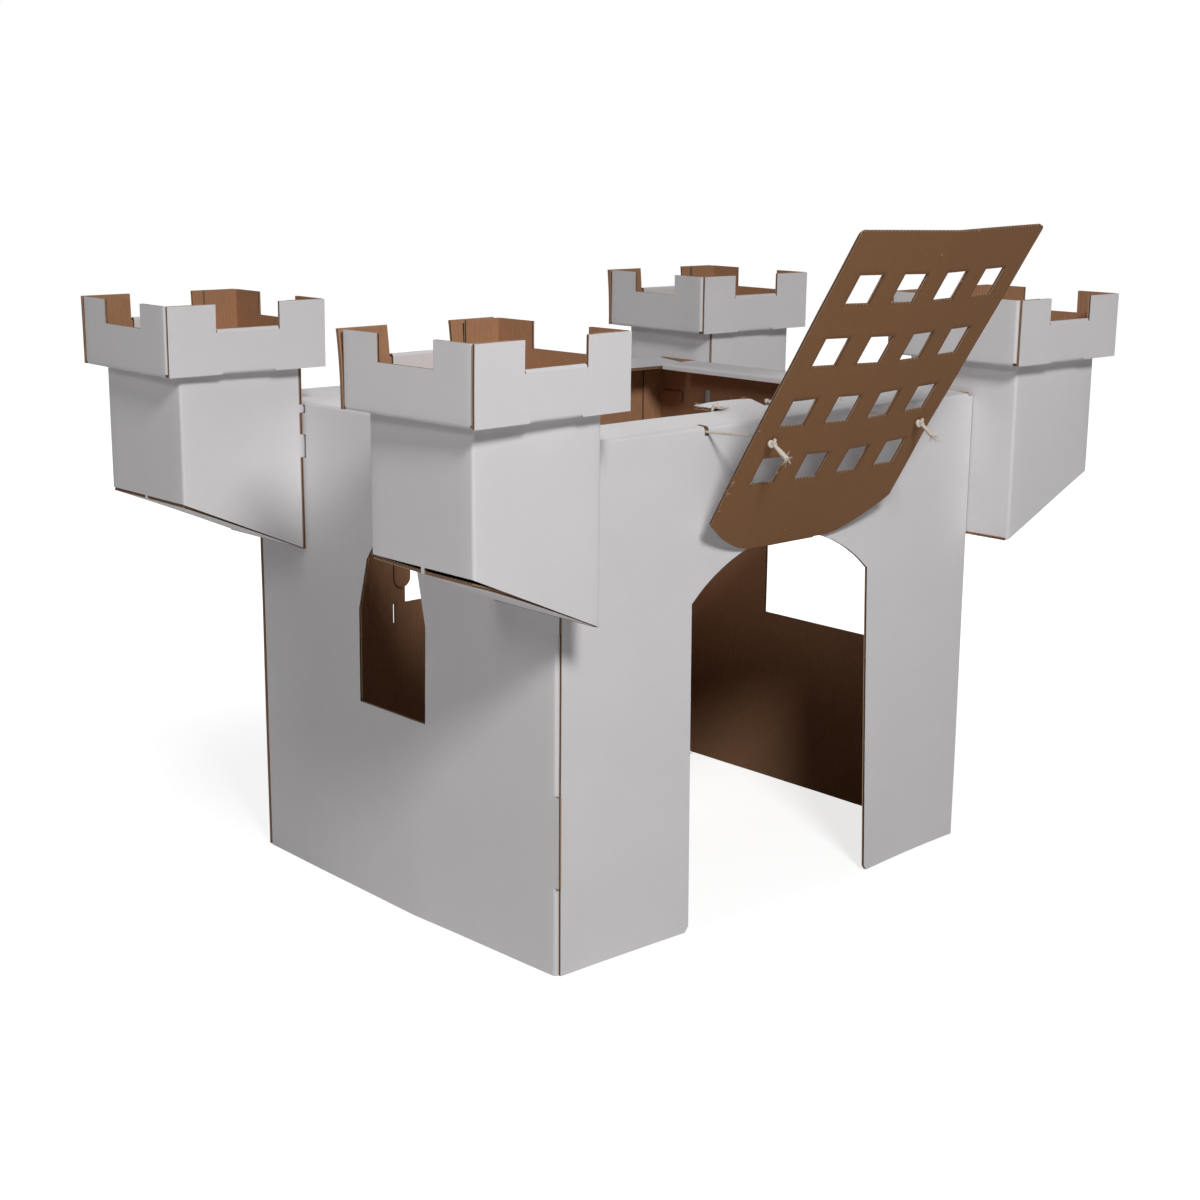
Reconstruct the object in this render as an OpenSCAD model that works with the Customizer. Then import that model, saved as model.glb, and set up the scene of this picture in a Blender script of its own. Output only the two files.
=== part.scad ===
// Play castle of folded corrugated board: four wall sheets, four hung corner
// towers with crenellated trays, and a lattice gate propped up on two cords.
// Millimetres, +Z up, the gateway faces -Y, the floor is z = 0.

/* [Board] */
// Thickness of the corrugated board
board = 5; // [3:0.5:7]
// Clearance around a tab in its slot
slot_fit = 0.5; // [0.3:0.1:1.5]

/* [Walls] */
// Width across the outer faces of the two side walls
wall_w = 1010; // [900:5:1300]
// Length of a side wall from corner fold to corner fold
wall_d = 810; // [760:5:1100]
// Height of the walls
wall_h = 850; // [820:5:950]
// Set-back of the front and back sheets' left edge and of their flaps' ends from the corner folds
edge_setback = 13; // [8:1:25]
// Set-back of those sheets' right edge from the side wall's outer face
edge_inset = 1; // [0.5:0.5:5]
// Width of the side walls' folded corner flanges
flange_w = 55; // [30:1:90]
// Depth of the turned-in top flaps
flap_d = 95; // [60:1:120]
// Distance from a corner to the end of a side wall's top flap
flap_end = 100; // [92:1:130]
// Rise of the front flap above level, in degrees
front_flap_rise = 6; // [0:1:10]
// Sag of the back flap below level, in degrees
back_flap_sag = 4; // [0:1:8]
// Height of the turned-down lip along the right wall's flap
lip_h = 12; // [8:1:30]
// Width of the tongue that the cords are tied to
tongue_w = 128; // [90:1:200]
// Reach of that tongue beyond the front flap
tongue_d = 67; // [40:1:100]
// Corner radius of that tongue
tongue_r = 18; // [5:1:30]

/* [Corner tabs] */
// Length of the tabs that stay straight at the corner folds
tab_l = 150; // [60:1:180]
// Reach of those tabs past the corner
tab_reach = 10; // [8:1:25]
// Height of the lower tab above the floor
tab_z = 149; // [60:1:200]
// Height of the upper tab above the floor
upper_tab_z = 561; // [500:1:600]

/* [Openings] */
// Width of the gateway
gate_w = 436; // [360:2:520]
// Height of the gateway up to the springing of its arch
gate_spring = 564; // [500:2:600]
// Rise of the gateway's arch
gate_rise = 88; // [70:1:110]
// Width of the pointed window in the left wall
lancet_w = 185; // [120:1:220]
// Distance of that window's middle from the front corner
lancet_y = 416; // [380:1:460]
// Height of that window's sill
lancet_sill = 345; // [250:1:420]
// Height of that window up to the springing of its pointed arch
lancet_spring = 510; // [460:1:540]
// Width of the hatch in the right wall
hatch_w = 300; // [200:1:380]
// Distance of the hatch's front edge from the front corner
hatch_y = 190; // [160:1:260]
// Height of the hatch's sill
hatch_sill = 350; // [250:1:420]
// Height of the hatch
hatch_h = 250; // [150:1:330]
// Width of the hatch in the back wall
back_hatch_w = 366; // [200:1:500]
// Height of the back hatch's sill
back_hatch_sill = 418; // [300:1:480]
// Height of the back hatch
back_hatch_h = 210; // [120:1:280]
// Width of the round-ended keeper tongue beside the back hatch
keeper_w = 38; // [20:1:60]
// Height of the keeper tongue's lower end
keeper_z = 450; // [430:1:500]

/* [Towers] */
// Width of a tower in both directions
tower_w = 240; // [200:1:300]
// Projection of a tower past the end of its wall
tower_out = 98; // [60:1:120]
// Height of a tower's outer lower edge
tower_low_out = 695; // [650:1:730]
// Height of a tower's lower edge at the wall
tower_low_in = 589; // [540:1:630]
// Height of a tower's top, where its crown rests
tower_top = 910; // [890:1:990]
// Gap between a tower's outer face and its slanted bottom
tower_gap = 4; // [2:0.5:12]
// Width of the open seam at a tower's wall-side edge
seam = 4; // [2:0.5:8]
// Distance of the hanging hook's middle from the wall's end
hook_y = 45; // [36:1:60]
// Width of the hanging hook
hook_w = 54; // [30:1:60]
// Height of the hook's slot in the wall
hook_z = 778; // [750:1:800]
// Drop of the hook behind the wall
hook_drop = 18; // [10:1:40]
// Height of a tower's lower side tab
side_tab_z = 752; // [735:1:770]
// Length of a tower's lower side tab
side_tab_l = 40; // [20:1:50]
// Length of a tower's upper side tab
top_tab_l = 14; // [8:1:20]

/* [Crowns] */
// Height of a crown
crown_h = 116; // [80:1:160]
// Overhang of a crown past its tower's outer face
crown_over_out = 28; // [10:1:50]
// Overhang of a crown past its tower's wall-side face
crown_over_in = 36; // [10:1:50]
// Overhang of a crown past its tower's two side faces
crown_over_side = 27; // [10:1:50]
// Width of the gap between two merlons
crenel_w = 122; // [80:1:150]
// Depth of the gap between two merlons
crenel_d = 41; // [20:1:60]
// Length of the corner flanges inside a crown
crown_flange = 70; // [30:1:80]
// Width of the strip that folds from the floor to a crown's side panel
hinge_strip = 100; // [50:1:140]

/* [Gate] */
// Cutting gap between the gate and the gateway it was cut from
gate_cut = 2; // [0.5:0.5:5]
// Length by which the gate's straight end falls short of the gateway's foot
gate_trim = 12; // [0:1:30]
// Lean of the gate from upright, in degrees
gate_lean = 32; // [28:1:36]
// Bend of each half of the gate along its middle crease, in degrees
gate_bend = 2.5; // [0:0.5:4]
// Clearance between the leaning gate and the wall at the fold
gate_gap = 0.8; // [0.3:0.1:2]
// Height of the fold that the gate hangs on, along the flat top of the gateway
lean_z = 639; // [630:1:650]
// Distance of that fold's two ends from the gate's middle
lean_u = 90; // [60:1:110]
// Distance from that fold up the gate to the end of its arch
lean_v = 74; // [70:1:80]
// Width of the lattice openings
cell_w = 51; // [30:1:70]
// Height of the lattice openings
cell_h = 52; // [30:1:70]
// Spacing of the lattice openings across the gate
cell_pitch_w = 100; // [80:1:110]
// Spacing of the lattice openings along the gate
cell_pitch_h = 115; // [90:1:120]
// Distance from the gate's straight end to the first row of openings
cell_margin = 77; // [40:1:110]
// Openings across and along the lattice
cells = 4; // [2:1:4]

/* [Cords] */
// Diameter of the cords
cord_d = 5; // [3:0.5:6]
// Distance of the gate's cord holes from its middle
cord_u = 182; // [170:1:190]
// Distance of the gate's cord holes from the end of its arch
cord_v = 165; // [150:1:180]
// Diameter of the gate's cord holes
cord_hole = 7; // [6:0.5:12]
// Diameter of the knots
knot_d = 14; // [12:0.5:20]
// Length of the loose tail in front of the gate
tail_l = 42; // [20:1:60]
// Width of the notches in the front fold that the cords run out of
notch_w = 9; // [8:0.5:14]
// Distance of those notches from the middle of the front wall
notch_x = 192; // [185:1:200]

/* [Hidden] */
$fn = 48;

white = [0.80, 0.79, 0.80];
kraft = [0.47, 0.34, 0.23];
cotton = [0.90, 0.86, 0.78];

over = 1;
half_w = wall_w / 2;
sheet_half = half_w - edge_setback;
bend_z = wall_h - board;
slot_w = board + 2 * slot_fit;
flange_top = bend_z - 2 * board * tan(back_flap_sag) - slot_fit;
flap_end_y = [flap_end, wall_d - flap_end];

// Towers, drawn at the front left corner
tower_x0 = -half_w - tower_w;
tower_x1 = -half_w;
tower_y0 = -tower_out;
tower_y1 = tower_w - tower_out;
tower_slope = atan2(tower_low_out - tower_low_in, tower_w);
tower_rise = board / cos(tower_slope);
tower_gap_z = tower_low_out + tower_rise + tower_gap;
top_tab_z = bend_z - top_tab_l - 2 * slot_fit;
tab_through = 2 * board;
bridge_w = 8;

// Crowns, drawn about their own middle
crown_w = tower_w + crown_over_out + crown_over_in;
crown_d = tower_w + 2 * crown_over_side;
crown_x = (tower_x0 - crown_over_out + tower_x1 + crown_over_in) / 2;
crown_y = (tower_y0 + tower_y1) / 2;
crenel_z = crown_h - crenel_d;
fold_relief = 2;
fold_over_w = crenel_w - 2 * fold_relief;
crown_edge_in = board;

// Gate, drawn upright about its fold: X across, -Y outwards, Z along it
gate_half = (gate_w - gate_cut) / 2;
gate_rise_in = gate_rise - gate_cut / 2;
gate_l = gate_spring - gate_cut - gate_trim;
gate_tip = lean_v - gate_rise_in;
gate_end = lean_v + gate_l;
gate_y = -board - gate_gap;
crease = tan(gate_bend) * lean_u;
panel_t = board / cos(gate_bend);
knot_gap = 0.2;
knot_seat = sqrt(pow(knot_d / 2, 2) - pow(cord_hole / 2, 2)) + knot_gap;
shank_out = 2;
shank = board + shank_out;

function arch_r(width, rise) = (width * width / 4 + rise * rise) / (2 * rise);
function gate_back(u) = abs(u) * tan(gate_bend) - crease;

// The frame's origin is the middle of the standing castle's box
y_front = gate_y - gate_end * sin(gate_lean) - (panel_t - gate_back(0)) * cos(gate_lean);
y_back = wall_d + tower_out + crown_over_side;
y_mid = (y_front + y_back) / 2;

// Route of the left cord from its tie at the tongue to the back of the gate
cord_route = [
    [-67, 104, 853.6], [-67.3, 103.8, 849.4], [-71, 101.2, 846.2], [-79, 95.5, 845], [-92, 86.5, 844],
    [-108, 75, 843.5], [-124, 64, 843], [-140, 53, 842.5], [-156, 42, 842.2], [-170, 32, 842],
    [-180, 25, 842], [-187, 18.5, 842], [-191, 11, 842], [-192, 2, 842], [-191.5, -8, 842],
    [-190.5, -20, 842.5], [-189.4, -34, 843.1], [-188.3, -48, 843.7], [-187.2, -62, 844.3],
    [-186.1, -76, 844.9], [-185, -90, 845.5], [-183.8, -103, 846], [-182.8, -114, 846.5],
    [-182.2, -119.5, 846.9], [-182, -124, 846.6], [-182, -127.1, 845]
];
tie_at = [-61, 104];
tie_shank_x = cord_route[0][0];
tie_shank_z = cord_route[0][2] + 2 * knot_gap;
side_hint = [0.6, -0.5, 0.6];

// Board standing along X: the outline is drawn in X and Z
module sheet_xz(y) {
    translate([0, y + board, 0]) rotate([90, 0, 0]) linear_extrude(board) children();
}

// Board standing along Y: the outline is drawn in Y and Z
module sheet_yz(x) {
    translate([x, 0, 0]) rotate([90, 0, 90]) linear_extrude(board) children();
}

// Rectangle from one corner to the other
module rect(a, b) {
    translate(a) square(b - a);
}

// Section of a top fold and its flap: a round bend about the board's inner edge
module flap_section(depth, tilt) {
    reach = 2 * board;
    intersection() {
        circle(board);
        polygon([[0, 0], [-reach, 0], [-reach, reach], reach * [-sin(tilt), cos(tilt)]]);
    }
    rotate(tilt) square([depth - board, board]);
}

// Rectangle with a round arch on top, standing on z = 0
module arched(width, spring, rise) {
    r = arch_r(width, rise);
    rect([-width / 2, 0], [width / 2, spring]);
    intersection() {
        rect([-width / 2, spring - over], [width / 2, spring + rise]);
        translate([0, spring + rise - r]) circle(r, $fn = 96);
    }
}

// Window with an equilateral pointed arch, from its sill up
module lancet() {
    rect([-lancet_w / 2, lancet_sill], [lancet_w / 2, lancet_spring]);
    intersection() {
        translate([-lancet_w / 2, lancet_spring]) circle(lancet_w, $fn = 96);
        translate([lancet_w / 2, lancet_spring]) circle(lancet_w, $fn = 96);
        rect([-lancet_w / 2, lancet_spring - over], [lancet_w / 2, lancet_spring + lancet_w]);
    }
}

// Strip with a half round lower end, drawn from its top edge down
module round_end(width, top, bottom) {
    rect([-width / 2, bottom + width / 2], [width / 2, top]);
    translate([0, bottom + width / 2]) circle(width / 2);
}

// Quarter round upright fold at a corner, with the board inside it
module corner_bend(height) {
    linear_extrude(height) intersection() {
        translate([board, board]) circle(board);
        square(board);
    }
}

// Flap with the tie tongue in its middle, drawn in the flap's own plane
module tongue_outline() {
    reach = flap_d - board + tongue_d;
    rect([-tongue_w / 2, 0], [tongue_w / 2, reach - tongue_r]);
    rect([-tongue_w / 2 + tongue_r, 0], [tongue_w / 2 - tongue_r, reach]);
    for (s = [-1, 1]) translate([s * (tongue_w / 2 - tongue_r), reach - tongue_r]) circle(tongue_r);
}

// End sheet with its top flap, the outer face towards -Y
module end_sheet(tilt) {
    sheet_xz(-board) rect([-sheet_half, 0], [half_w - edge_inset, bend_z]);
    translate([-sheet_half, 0, bend_z]) rotate([90, 0, 90])
        linear_extrude(2 * sheet_half) flap_section(flap_d, tilt);
}

module front_sheet() {
    difference() {
        union() {
            end_sheet(front_flap_rise);
            translate([0, 0, bend_z]) rotate([front_flap_rise, 0, 0])
                linear_extrude(board) tongue_outline();
        }
        translate([0, -board, 0]) rotate([90, 0, 0]) translate([0, 0, -2 * board - over])
            linear_extrude(2 * board + 2 * over) intersection() {
                translate([0, -over]) arched(gate_w, gate_spring + over, gate_rise);
                rect([-gate_w, -over], [gate_w, lean_z]);
            }
        for (s = [-1, 1])
            translate([s * notch_x - notch_w / 2, -board - over, bend_z - notch_w])
                cube([notch_w, 4 * board + over, notch_w + 3 * board]);
    }
}

// Back sheet, drawn with its outer face towards -Y and turned round in place
module back_sheet() {
    difference() {
        end_sheet(-back_flap_sag);
        translate([-back_hatch_w / 2, -board - over, back_hatch_sill])
            cube([back_hatch_w, board + 2 * over, back_hatch_h]);
        translate([back_hatch_w / 2 + keeper_w / 2 + board, -board - over, back_hatch_sill - keeper_w])
            cube([board, board + 2 * over, keeper_w]);
    }
    translate([back_hatch_w / 2 + keeper_w / 4, 0, 0])
        sheet_xz(0) round_end(keeper_w, back_hatch_sill + back_hatch_h / 2, keeper_z);
}

// Flange at the front end of a side wall, with the straight tabs beside it if it is tabbed
module side_end(tabbed) {
    tab_rows = tabbed ? [tab_z, upper_tab_z] : [];
    difference() {
        union() {
            translate([-half_w, 0, 0]) corner_bend(flange_top);
            translate([-half_w + board, 0, 0]) cube([flange_w - board, board, flange_top]);
        }
        for (z = tab_rows)
            translate([-half_w - over, -over, z]) cube([board + tab_reach + over, board + 2 * over, tab_l]);
    }
    for (z = tab_rows)
        translate([-half_w, -tab_reach, z]) cube([board, tab_reach + board, tab_l]);
}

// Slots that one tower hooks into, at the front end of a side wall
module tower_slots() {
    translate([-half_w - over, hook_y - hook_w / 2 - slot_fit, hook_z - slot_fit])
        cube([board + 2 * over, hook_w + 2 * slot_fit, slot_w]);
    for (tab = [[side_tab_z, side_tab_l], [top_tab_z, top_tab_l]])
        translate([-half_w - over, tower_y1 - board - slot_fit, tab[0] - slot_fit])
            cube([board + 2 * over, slot_w, tab[1] + 2 * slot_fit]);
}

// Mirror image of a side wall's front end at its back end
module back_end() {
    translate([0, wall_d, 0]) mirror([0, 1, 0]) children();
}

// Side wall without its opening, the outer face towards -X
module side_sheet(tabbed) {
    difference() {
        union() {
            sheet_yz(-half_w) difference() {
                rect([board, 0], [wall_d - board, wall_h]);
                rect([flap_end_y[0], bend_z], [flap_end_y[1], wall_h + over]);
            }
            translate([-half_w + board, flap_end_y[1], bend_z]) rotate([90, 0, 0])
                linear_extrude(flap_end_y[1] - flap_end_y[0]) flap_section(flap_d, 0);
            side_end(tabbed);
            back_end() side_end(false);
        }
        tower_slots();
        back_end() tower_slots();
    }
}

module left_sheet() {
    difference() {
        side_sheet(true);
        translate([-over, 0, 0]) sheet_yz(-half_w) translate([lancet_y, 0]) lancet();
        translate([over, 0, 0]) sheet_yz(-half_w) translate([lancet_y, 0]) lancet();
    }
}

// Drawn as a left wall and mirrored in place
module right_sheet() {
    difference() {
        side_sheet(false);
        translate([-half_w - over, hatch_y, hatch_sill]) cube([board + 2 * over, hatch_w, hatch_h]);
    }
    translate([-half_w + flap_d - board, flap_end_y[0], bend_z - lip_h + board])
        cube([board, flap_end_y[1] - flap_end_y[0], lip_h]);
}

// Plan of a tower's four faces, with three round folds and one open seam
module tower_plan() {
    difference() {
        union() {
            rect([tower_x0 + board, tower_y0], [tower_x1 - board, tower_y1]);
            rect([tower_x0, tower_y0 + board], [tower_x1, tower_y1 - board]);
            for (c = [[tower_x0 + board, tower_y0 + board], [tower_x0 + board, tower_y1 - board],
                      [tower_x1 - board, tower_y0 + board]])
                translate(c) circle(board);
            rect([tower_x1 - board, tower_y1 - board], [tower_x1, tower_y1]);
        }
        rect([tower_x0 + board, tower_y0 + board], [tower_x1 - board, tower_y1 - board]);
        rect([tower_x1 - board - over, tower_y1 - board - seam], [tower_x1 + over, tower_y1 - board]);
    }
}

// Space below a tower's sloping lower edges
module below_tower() {
    rotate([90, 0, 0]) translate([0, 0, -tower_y1 - over]) linear_extrude(tower_w + 2 * over)
        polygon([[tower_x0 - over, tower_low_in - board], [tower_x1 + over, tower_low_in - board],
                 [tower_x1 + over, tower_low_in], [tower_x1, tower_low_in],
                 [tower_x0, tower_low_out], [tower_x0 - over, tower_low_out]]);
}

// Hook that passes through the wall and hangs down behind it
module tower_hook() {
    drop_x = tower_x1 + board + slot_fit;
    translate([tower_x1 - over, hook_y - hook_w / 2, hook_z]) cube([drop_x - tower_x1 + over, hook_w, board]);
    translate([0, hook_y, 0]) sheet_yz(drop_x) intersection() {
        round_end(hook_w, hook_z + board, hook_z - hook_drop - hook_w / 4);
        rect([-hook_w / 2, hook_z - hook_drop], [hook_w / 2, hook_z + board]);
    }
}

module tower_sheet() {
    difference() {
        translate([0, 0, tower_low_in]) linear_extrude(tower_top - tower_low_in) tower_plan();
        below_tower();
        difference() {
            translate([tower_x0 - over, tower_y0 + board, tower_low_in])
                cube([board + over, tower_w - 2 * board, tower_gap_z - tower_low_in]);
            translate([tower_x0 - over, tower_y0 + tower_w / 2 - bridge_w, tower_low_in])
                cube([board + 2 * over, bridge_w, tower_low_out]);
        }
    }
    rotate([90, 0, 0]) translate([0, 0, -tower_y1 + board / 2]) linear_extrude(tower_w - board)
        polygon([[tower_x0 + over, tower_low_out - over * tan(tower_slope)], [tower_x1, tower_low_in],
                 [tower_x1, tower_low_in + tower_rise],
                 [tower_x0 + over, tower_low_out + tower_rise - over * tan(tower_slope)]]);
    tower_hook();
    for (tab = [[side_tab_z, side_tab_l], [top_tab_z, top_tab_l]])
        translate([tower_x1 - over, tower_y1 - board, tab[0]]) cube([tab_through + over, board, tab[1]]);
}

// Outline of a crown panel with its crenel, standing on z = 0
module crenellated(width) {
    difference() {
        rect([-width / 2, 0], [width / 2, crown_h]);
        rect([-crenel_w / 2, crenel_z], [crenel_w / 2, crown_h + over]);
    }
}

// Side panel that folds up from the floor, with a flange at each end, towards -X
module crown_side() {
    x = -crown_w / 2;
    y_in = crown_d / 2 - board;
    side_w = 2 * y_in - 2 * board;
    difference() {
        sheet_yz(x) crenellated(side_w);
        translate([x, -side_w / 2, 0]) rotate([90, 0, 90]) rotate([0, 90, 0]) fold_cut(side_w);
    }
    for (s = [0, 1]) mirror([0, s, 0]) translate([x, -y_in, board]) {
        corner_bend(crown_h - board);
        translate([board, 0, 0]) cube([crown_flange - board, board, crown_h - board]);
    }
}

// Cutter that rounds a fold along Z, with the board towards +X and +Y
module fold_cut(length) {
    translate([0, 0, -over]) linear_extrude(length + 2 * over) difference() {
        rect([-over, -over], [board, board]);
        translate([board, board]) circle(board);
    }
}

// End panel outside the flanges, folded over its crenel to an inner flap, towards -Y
module crown_end() {
    y = -crown_d / 2;
    reach = crown_w / 2 - crown_edge_in;
    fold_z = crenel_z - board;
    sheet_xz(y) difference() {
        rect([-reach, 0], [reach, crown_h]);
        rect([-crenel_w / 2, fold_z], [crenel_w / 2, crown_h + over]);
        for (s = [0, 1]) mirror([s, 0]) rect([hinge_strip / 2, -over], [reach + over, board + slot_fit]);
    }
    translate([-fold_over_w / 2, y + board, fold_z]) rotate([90, 0, 90]) linear_extrude(fold_over_w)
        intersection() {
            circle(board);
            rect([-board, 0], [board, board]);
        }
    sheet_xz(y + board) rect([-fold_over_w / 2, board], [fold_over_w / 2, fold_z]);
}

module crown_tray() {
    floor_x = crown_w / 2 - board;
    floor_y = crown_d / 2 - board;
    translate([-floor_x, -floor_y, 0]) cube([2 * floor_x, 2 * floor_y, board]);
    for (s = [0, 1]) {
        mirror([s, 0, 0]) crown_side();
        mirror([0, s, 0]) crown_end();
    }
}

// Outline of the gate with its arched end down, cut off flat at the fold that it hangs on
module gate_outline() {
    r = arch_r(2 * gate_half, gate_rise_in);
    rect([-gate_half, lean_v], [gate_half, gate_end]);
    intersection() {
        rect([-gate_half, 0], [gate_half, lean_v + over]);
        translate([0, gate_tip + r]) circle(r, $fn = 96);
    }
}

// Openings of the lattice, rows counted from the straight end
module gate_cells() {
    first_u = -(cells - 1) * cell_pitch_w / 2 - cell_w / 2;
    for (column = [0 : cells - 1], row = [0 : cells - 1])
        translate([first_u + column * cell_pitch_w, gate_end - cell_margin - cell_h - row * cell_pitch_h])
            square([cell_w, cell_h]);
}

// Gate standing upright: a shallow fold along the middle crease, cut to the outline
module gate_sheet() {
    side = gate_back(gate_half);
    difference() {
        intersection() {
            linear_extrude(gate_end)
                polygon([[-gate_half, side], [0, gate_back(0)], [gate_half, side],
                         [gate_half, side - panel_t], [0, gate_back(0) - panel_t], [-gate_half, side - panel_t]]);
            rotate([90, 0, 0]) translate([0, 0, -4 * board]) linear_extrude(8 * board) difference() {
                gate_outline();
                gate_cells();
            }
        }
        for (s = [-1, 1])
            translate([s * cord_u, 0, lean_v + cord_v]) rotate([90, 0, 0])
                cylinder(d = cord_hole, h = 8 * board, center = true);
    }
}

// Puts what is drawn about the gate's fold in its place against the wall
module lean() {
    translate([0, gate_y, lean_z]) rotate([gate_lean, 0, 0]) children();
}

// Ball knot on the gate's outer face, with its shank in the hole and its loose tail
module gate_knot(s) {
    lean() translate([s * cord_u, gate_back(cord_u) - panel_t, lean_v + cord_v]) rotate([90, 0, 0]) rotate_extrude() {
        rect([0, -shank], [cord_d / 2, tail_l]);
        intersection() {
            translate([0, knot_seat]) circle(knot_d / 2);
            rect([0, knot_seat - knot_d], [knot_d, knot_seat + knot_d]);
        }
    }
}

// Knot on the tongue's edge, with the cord's shank down beside the edge
module tie_knot(s) {
    top_z = bend_z + (tie_at[1] * sin(front_flap_rise) + board) / cos(front_flap_rise);
    knot_z = top_z + knot_d / 2 - board / 4;
    mirror([s > 0 ? 1 : 0, 0, 0]) difference() {
        union() {
            translate([tie_at[0], tie_at[1], knot_z]) sphere(d = knot_d);
            translate([tie_shank_x, tie_at[1], tie_shank_z])
                cylinder(d = cord_d, h = knot_z - tie_shank_z);
        }
        translate([0, 0, bend_z]) rotate([front_flap_rise, 0, 0]) translate([0, 0, -slot_fit / 2])
            linear_extrude(board + slot_fit) rect([-tongue_w / 2, 0], [tongue_w / 2, flap_d + tongue_d]);
    }
}

function unit(v) = v / norm(v);
function along(path, i) = unit(path[min(i + 1, len(path) - 1)] - path[max(i - 1, 0)]);
function ring(path, i, r, sides) =
    let (t = along(path, i), a = unit(cross(t, side_hint)), b = cross(t, a))
    [for (k = [0 : sides - 1]) path[i] + r * (cos(360 * k / sides) * a + sin(360 * k / sides) * b)];

// Round cord swept along a route
module swept_cord(path, sides = 10) {
    n = len(path);
    points = [for (i = [0 : n - 1]) each ring(path, i, cord_d / 2, sides)];
    sleeve = [for (i = [0 : n - 2], k = [0 : sides - 1])
        [i * sides + k, (i + 1) * sides + k, (i + 1) * sides + (k + 1) % sides, i * sides + (k + 1) % sides]];
    ends = [[for (k = [0 : sides - 1]) k], [for (k = [sides - 1 : -1 : 0]) (n - 1) * sides + k]];
    polyhedron(points, concat(sleeve, ends), convexity = 4);
}

// Moves from the wall corners' frame to the part's frame
module in_frame() {
    translate([0, -y_mid, 0]) children();
}

// Puts a front left corner piece at the corner with the given signs
module at_corner(sx, sy) {
    in_frame() translate([0, sy > 0 ? wall_d : 0, 0])
        mirror([sx > 0 ? 1 : 0, 0, 0]) mirror([0, sy > 0 ? 1 : 0, 0]) children();
}

module tower(sx, sy) { color(white) at_corner(sx, sy) tower_sheet(); }
module crown(sx, sy) { color(white) at_corner(sx, sy) translate([crown_x, crown_y, tower_top]) crown_tray(); }

module front_wall() { color(white) in_frame() front_sheet(); }
module back_wall() { color(white) in_frame() translate([0, wall_d, 0]) rotate([0, 0, 180]) back_sheet(); }
module left_wall() { color(white) in_frame() left_sheet(); }
module right_wall() { color(white) in_frame() mirror([1, 0, 0]) right_sheet(); }
module tower_front_left() { tower(-1, -1); }
module tower_front_right() { tower(1, -1); }
module tower_back_left() { tower(-1, 1); }
module tower_back_right() { tower(1, 1); }
module crown_front_left() { crown(-1, -1); }
module crown_front_right() { crown(1, -1); }
module crown_back_left() { crown(-1, 1); }
module crown_back_right() { crown(1, 1); }
module gate_panel() { color(kraft) in_frame() lean() gate_sheet(); }
module cord_left() { color(cotton) in_frame() swept_cord(cord_route); }
module cord_right() { color(cotton) in_frame() mirror([1, 0, 0]) swept_cord(cord_route); }
module gate_knot_left() { color(cotton) in_frame() gate_knot(-1); }
module gate_knot_right() { color(cotton) in_frame() gate_knot(1); }
module tie_knot_left() { color(cotton) in_frame() tie_knot(-1); }
module tie_knot_right() { color(cotton) in_frame() tie_knot(1); }

front_wall();
back_wall();
left_wall();
right_wall();
tower_front_left();
tower_front_right();
tower_back_left();
tower_back_right();
crown_front_left();
crown_front_right();
crown_back_left();
crown_back_right();
gate_panel();
cord_left();
cord_right();
gate_knot_left();
gate_knot_right();
tie_knot_left();
tie_knot_right();
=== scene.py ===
import math

import bpy
import numpy as np
from mathutils import Matrix, Vector


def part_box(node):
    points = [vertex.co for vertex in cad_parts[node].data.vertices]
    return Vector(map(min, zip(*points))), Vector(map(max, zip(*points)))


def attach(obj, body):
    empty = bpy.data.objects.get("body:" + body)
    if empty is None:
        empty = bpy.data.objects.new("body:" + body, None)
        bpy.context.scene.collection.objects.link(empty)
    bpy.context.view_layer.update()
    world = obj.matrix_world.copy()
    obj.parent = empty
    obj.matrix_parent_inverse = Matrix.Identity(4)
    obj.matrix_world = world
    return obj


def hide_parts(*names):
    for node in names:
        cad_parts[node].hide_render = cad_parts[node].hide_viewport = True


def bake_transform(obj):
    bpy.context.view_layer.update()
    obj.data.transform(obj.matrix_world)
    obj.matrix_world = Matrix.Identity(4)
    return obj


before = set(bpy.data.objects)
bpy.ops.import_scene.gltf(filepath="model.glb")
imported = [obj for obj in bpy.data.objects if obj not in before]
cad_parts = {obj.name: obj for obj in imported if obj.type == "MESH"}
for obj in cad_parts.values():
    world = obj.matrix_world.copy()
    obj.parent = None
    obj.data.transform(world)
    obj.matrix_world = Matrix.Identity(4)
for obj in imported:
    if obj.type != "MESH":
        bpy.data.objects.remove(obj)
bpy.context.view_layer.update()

# Play castle folded from white-faced corrugated board, over its CAD frame.
# Lengths are millimetres in the castle's own frame until a piece is put in its place:
# x from the middle of the gateway, y back from the front corner folds, z up from the floor.

MM = 0.001
BOARD = 5.0
FLUTE = 8.0
FOLD = BOARD + 0.6
STEP = 24.0
WELD = 0.02
LINER = 0.12
RECESS = 0.5
PLAY = 0.3
SHARP = math.radians(35)

wall_low, wall_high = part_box("right_wall")
FRONT = wall_low.y / MM
HALF_W = round(wall_high.x / MM, 2)
DEPTH = round((wall_high.y - wall_low.y) / MM, 2)
WALL_H = round(wall_high.z / MM, 2)
BEND_Z = WALL_H - BOARD
FLANGE_TOP = WALL_H - 6.2


def unit(v):
    """Vector, or each row of an array of them, at length one."""
    return v / np.linalg.norm(v, axis=-1, keepdims=True)


def spans(stops, step=STEP):
    """Rising values through every stop, with each stretch between divided into steps no longer than step."""
    stops = np.unique(np.round(np.asarray(stops, float), 4))
    parts = [np.linspace(a, b, max(1, math.ceil((b - a) / step)), endpoint=False)
             for a, b in zip(stops[:-1], stops[1:])]
    return np.append(np.concatenate(parts), stops[-1])


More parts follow.
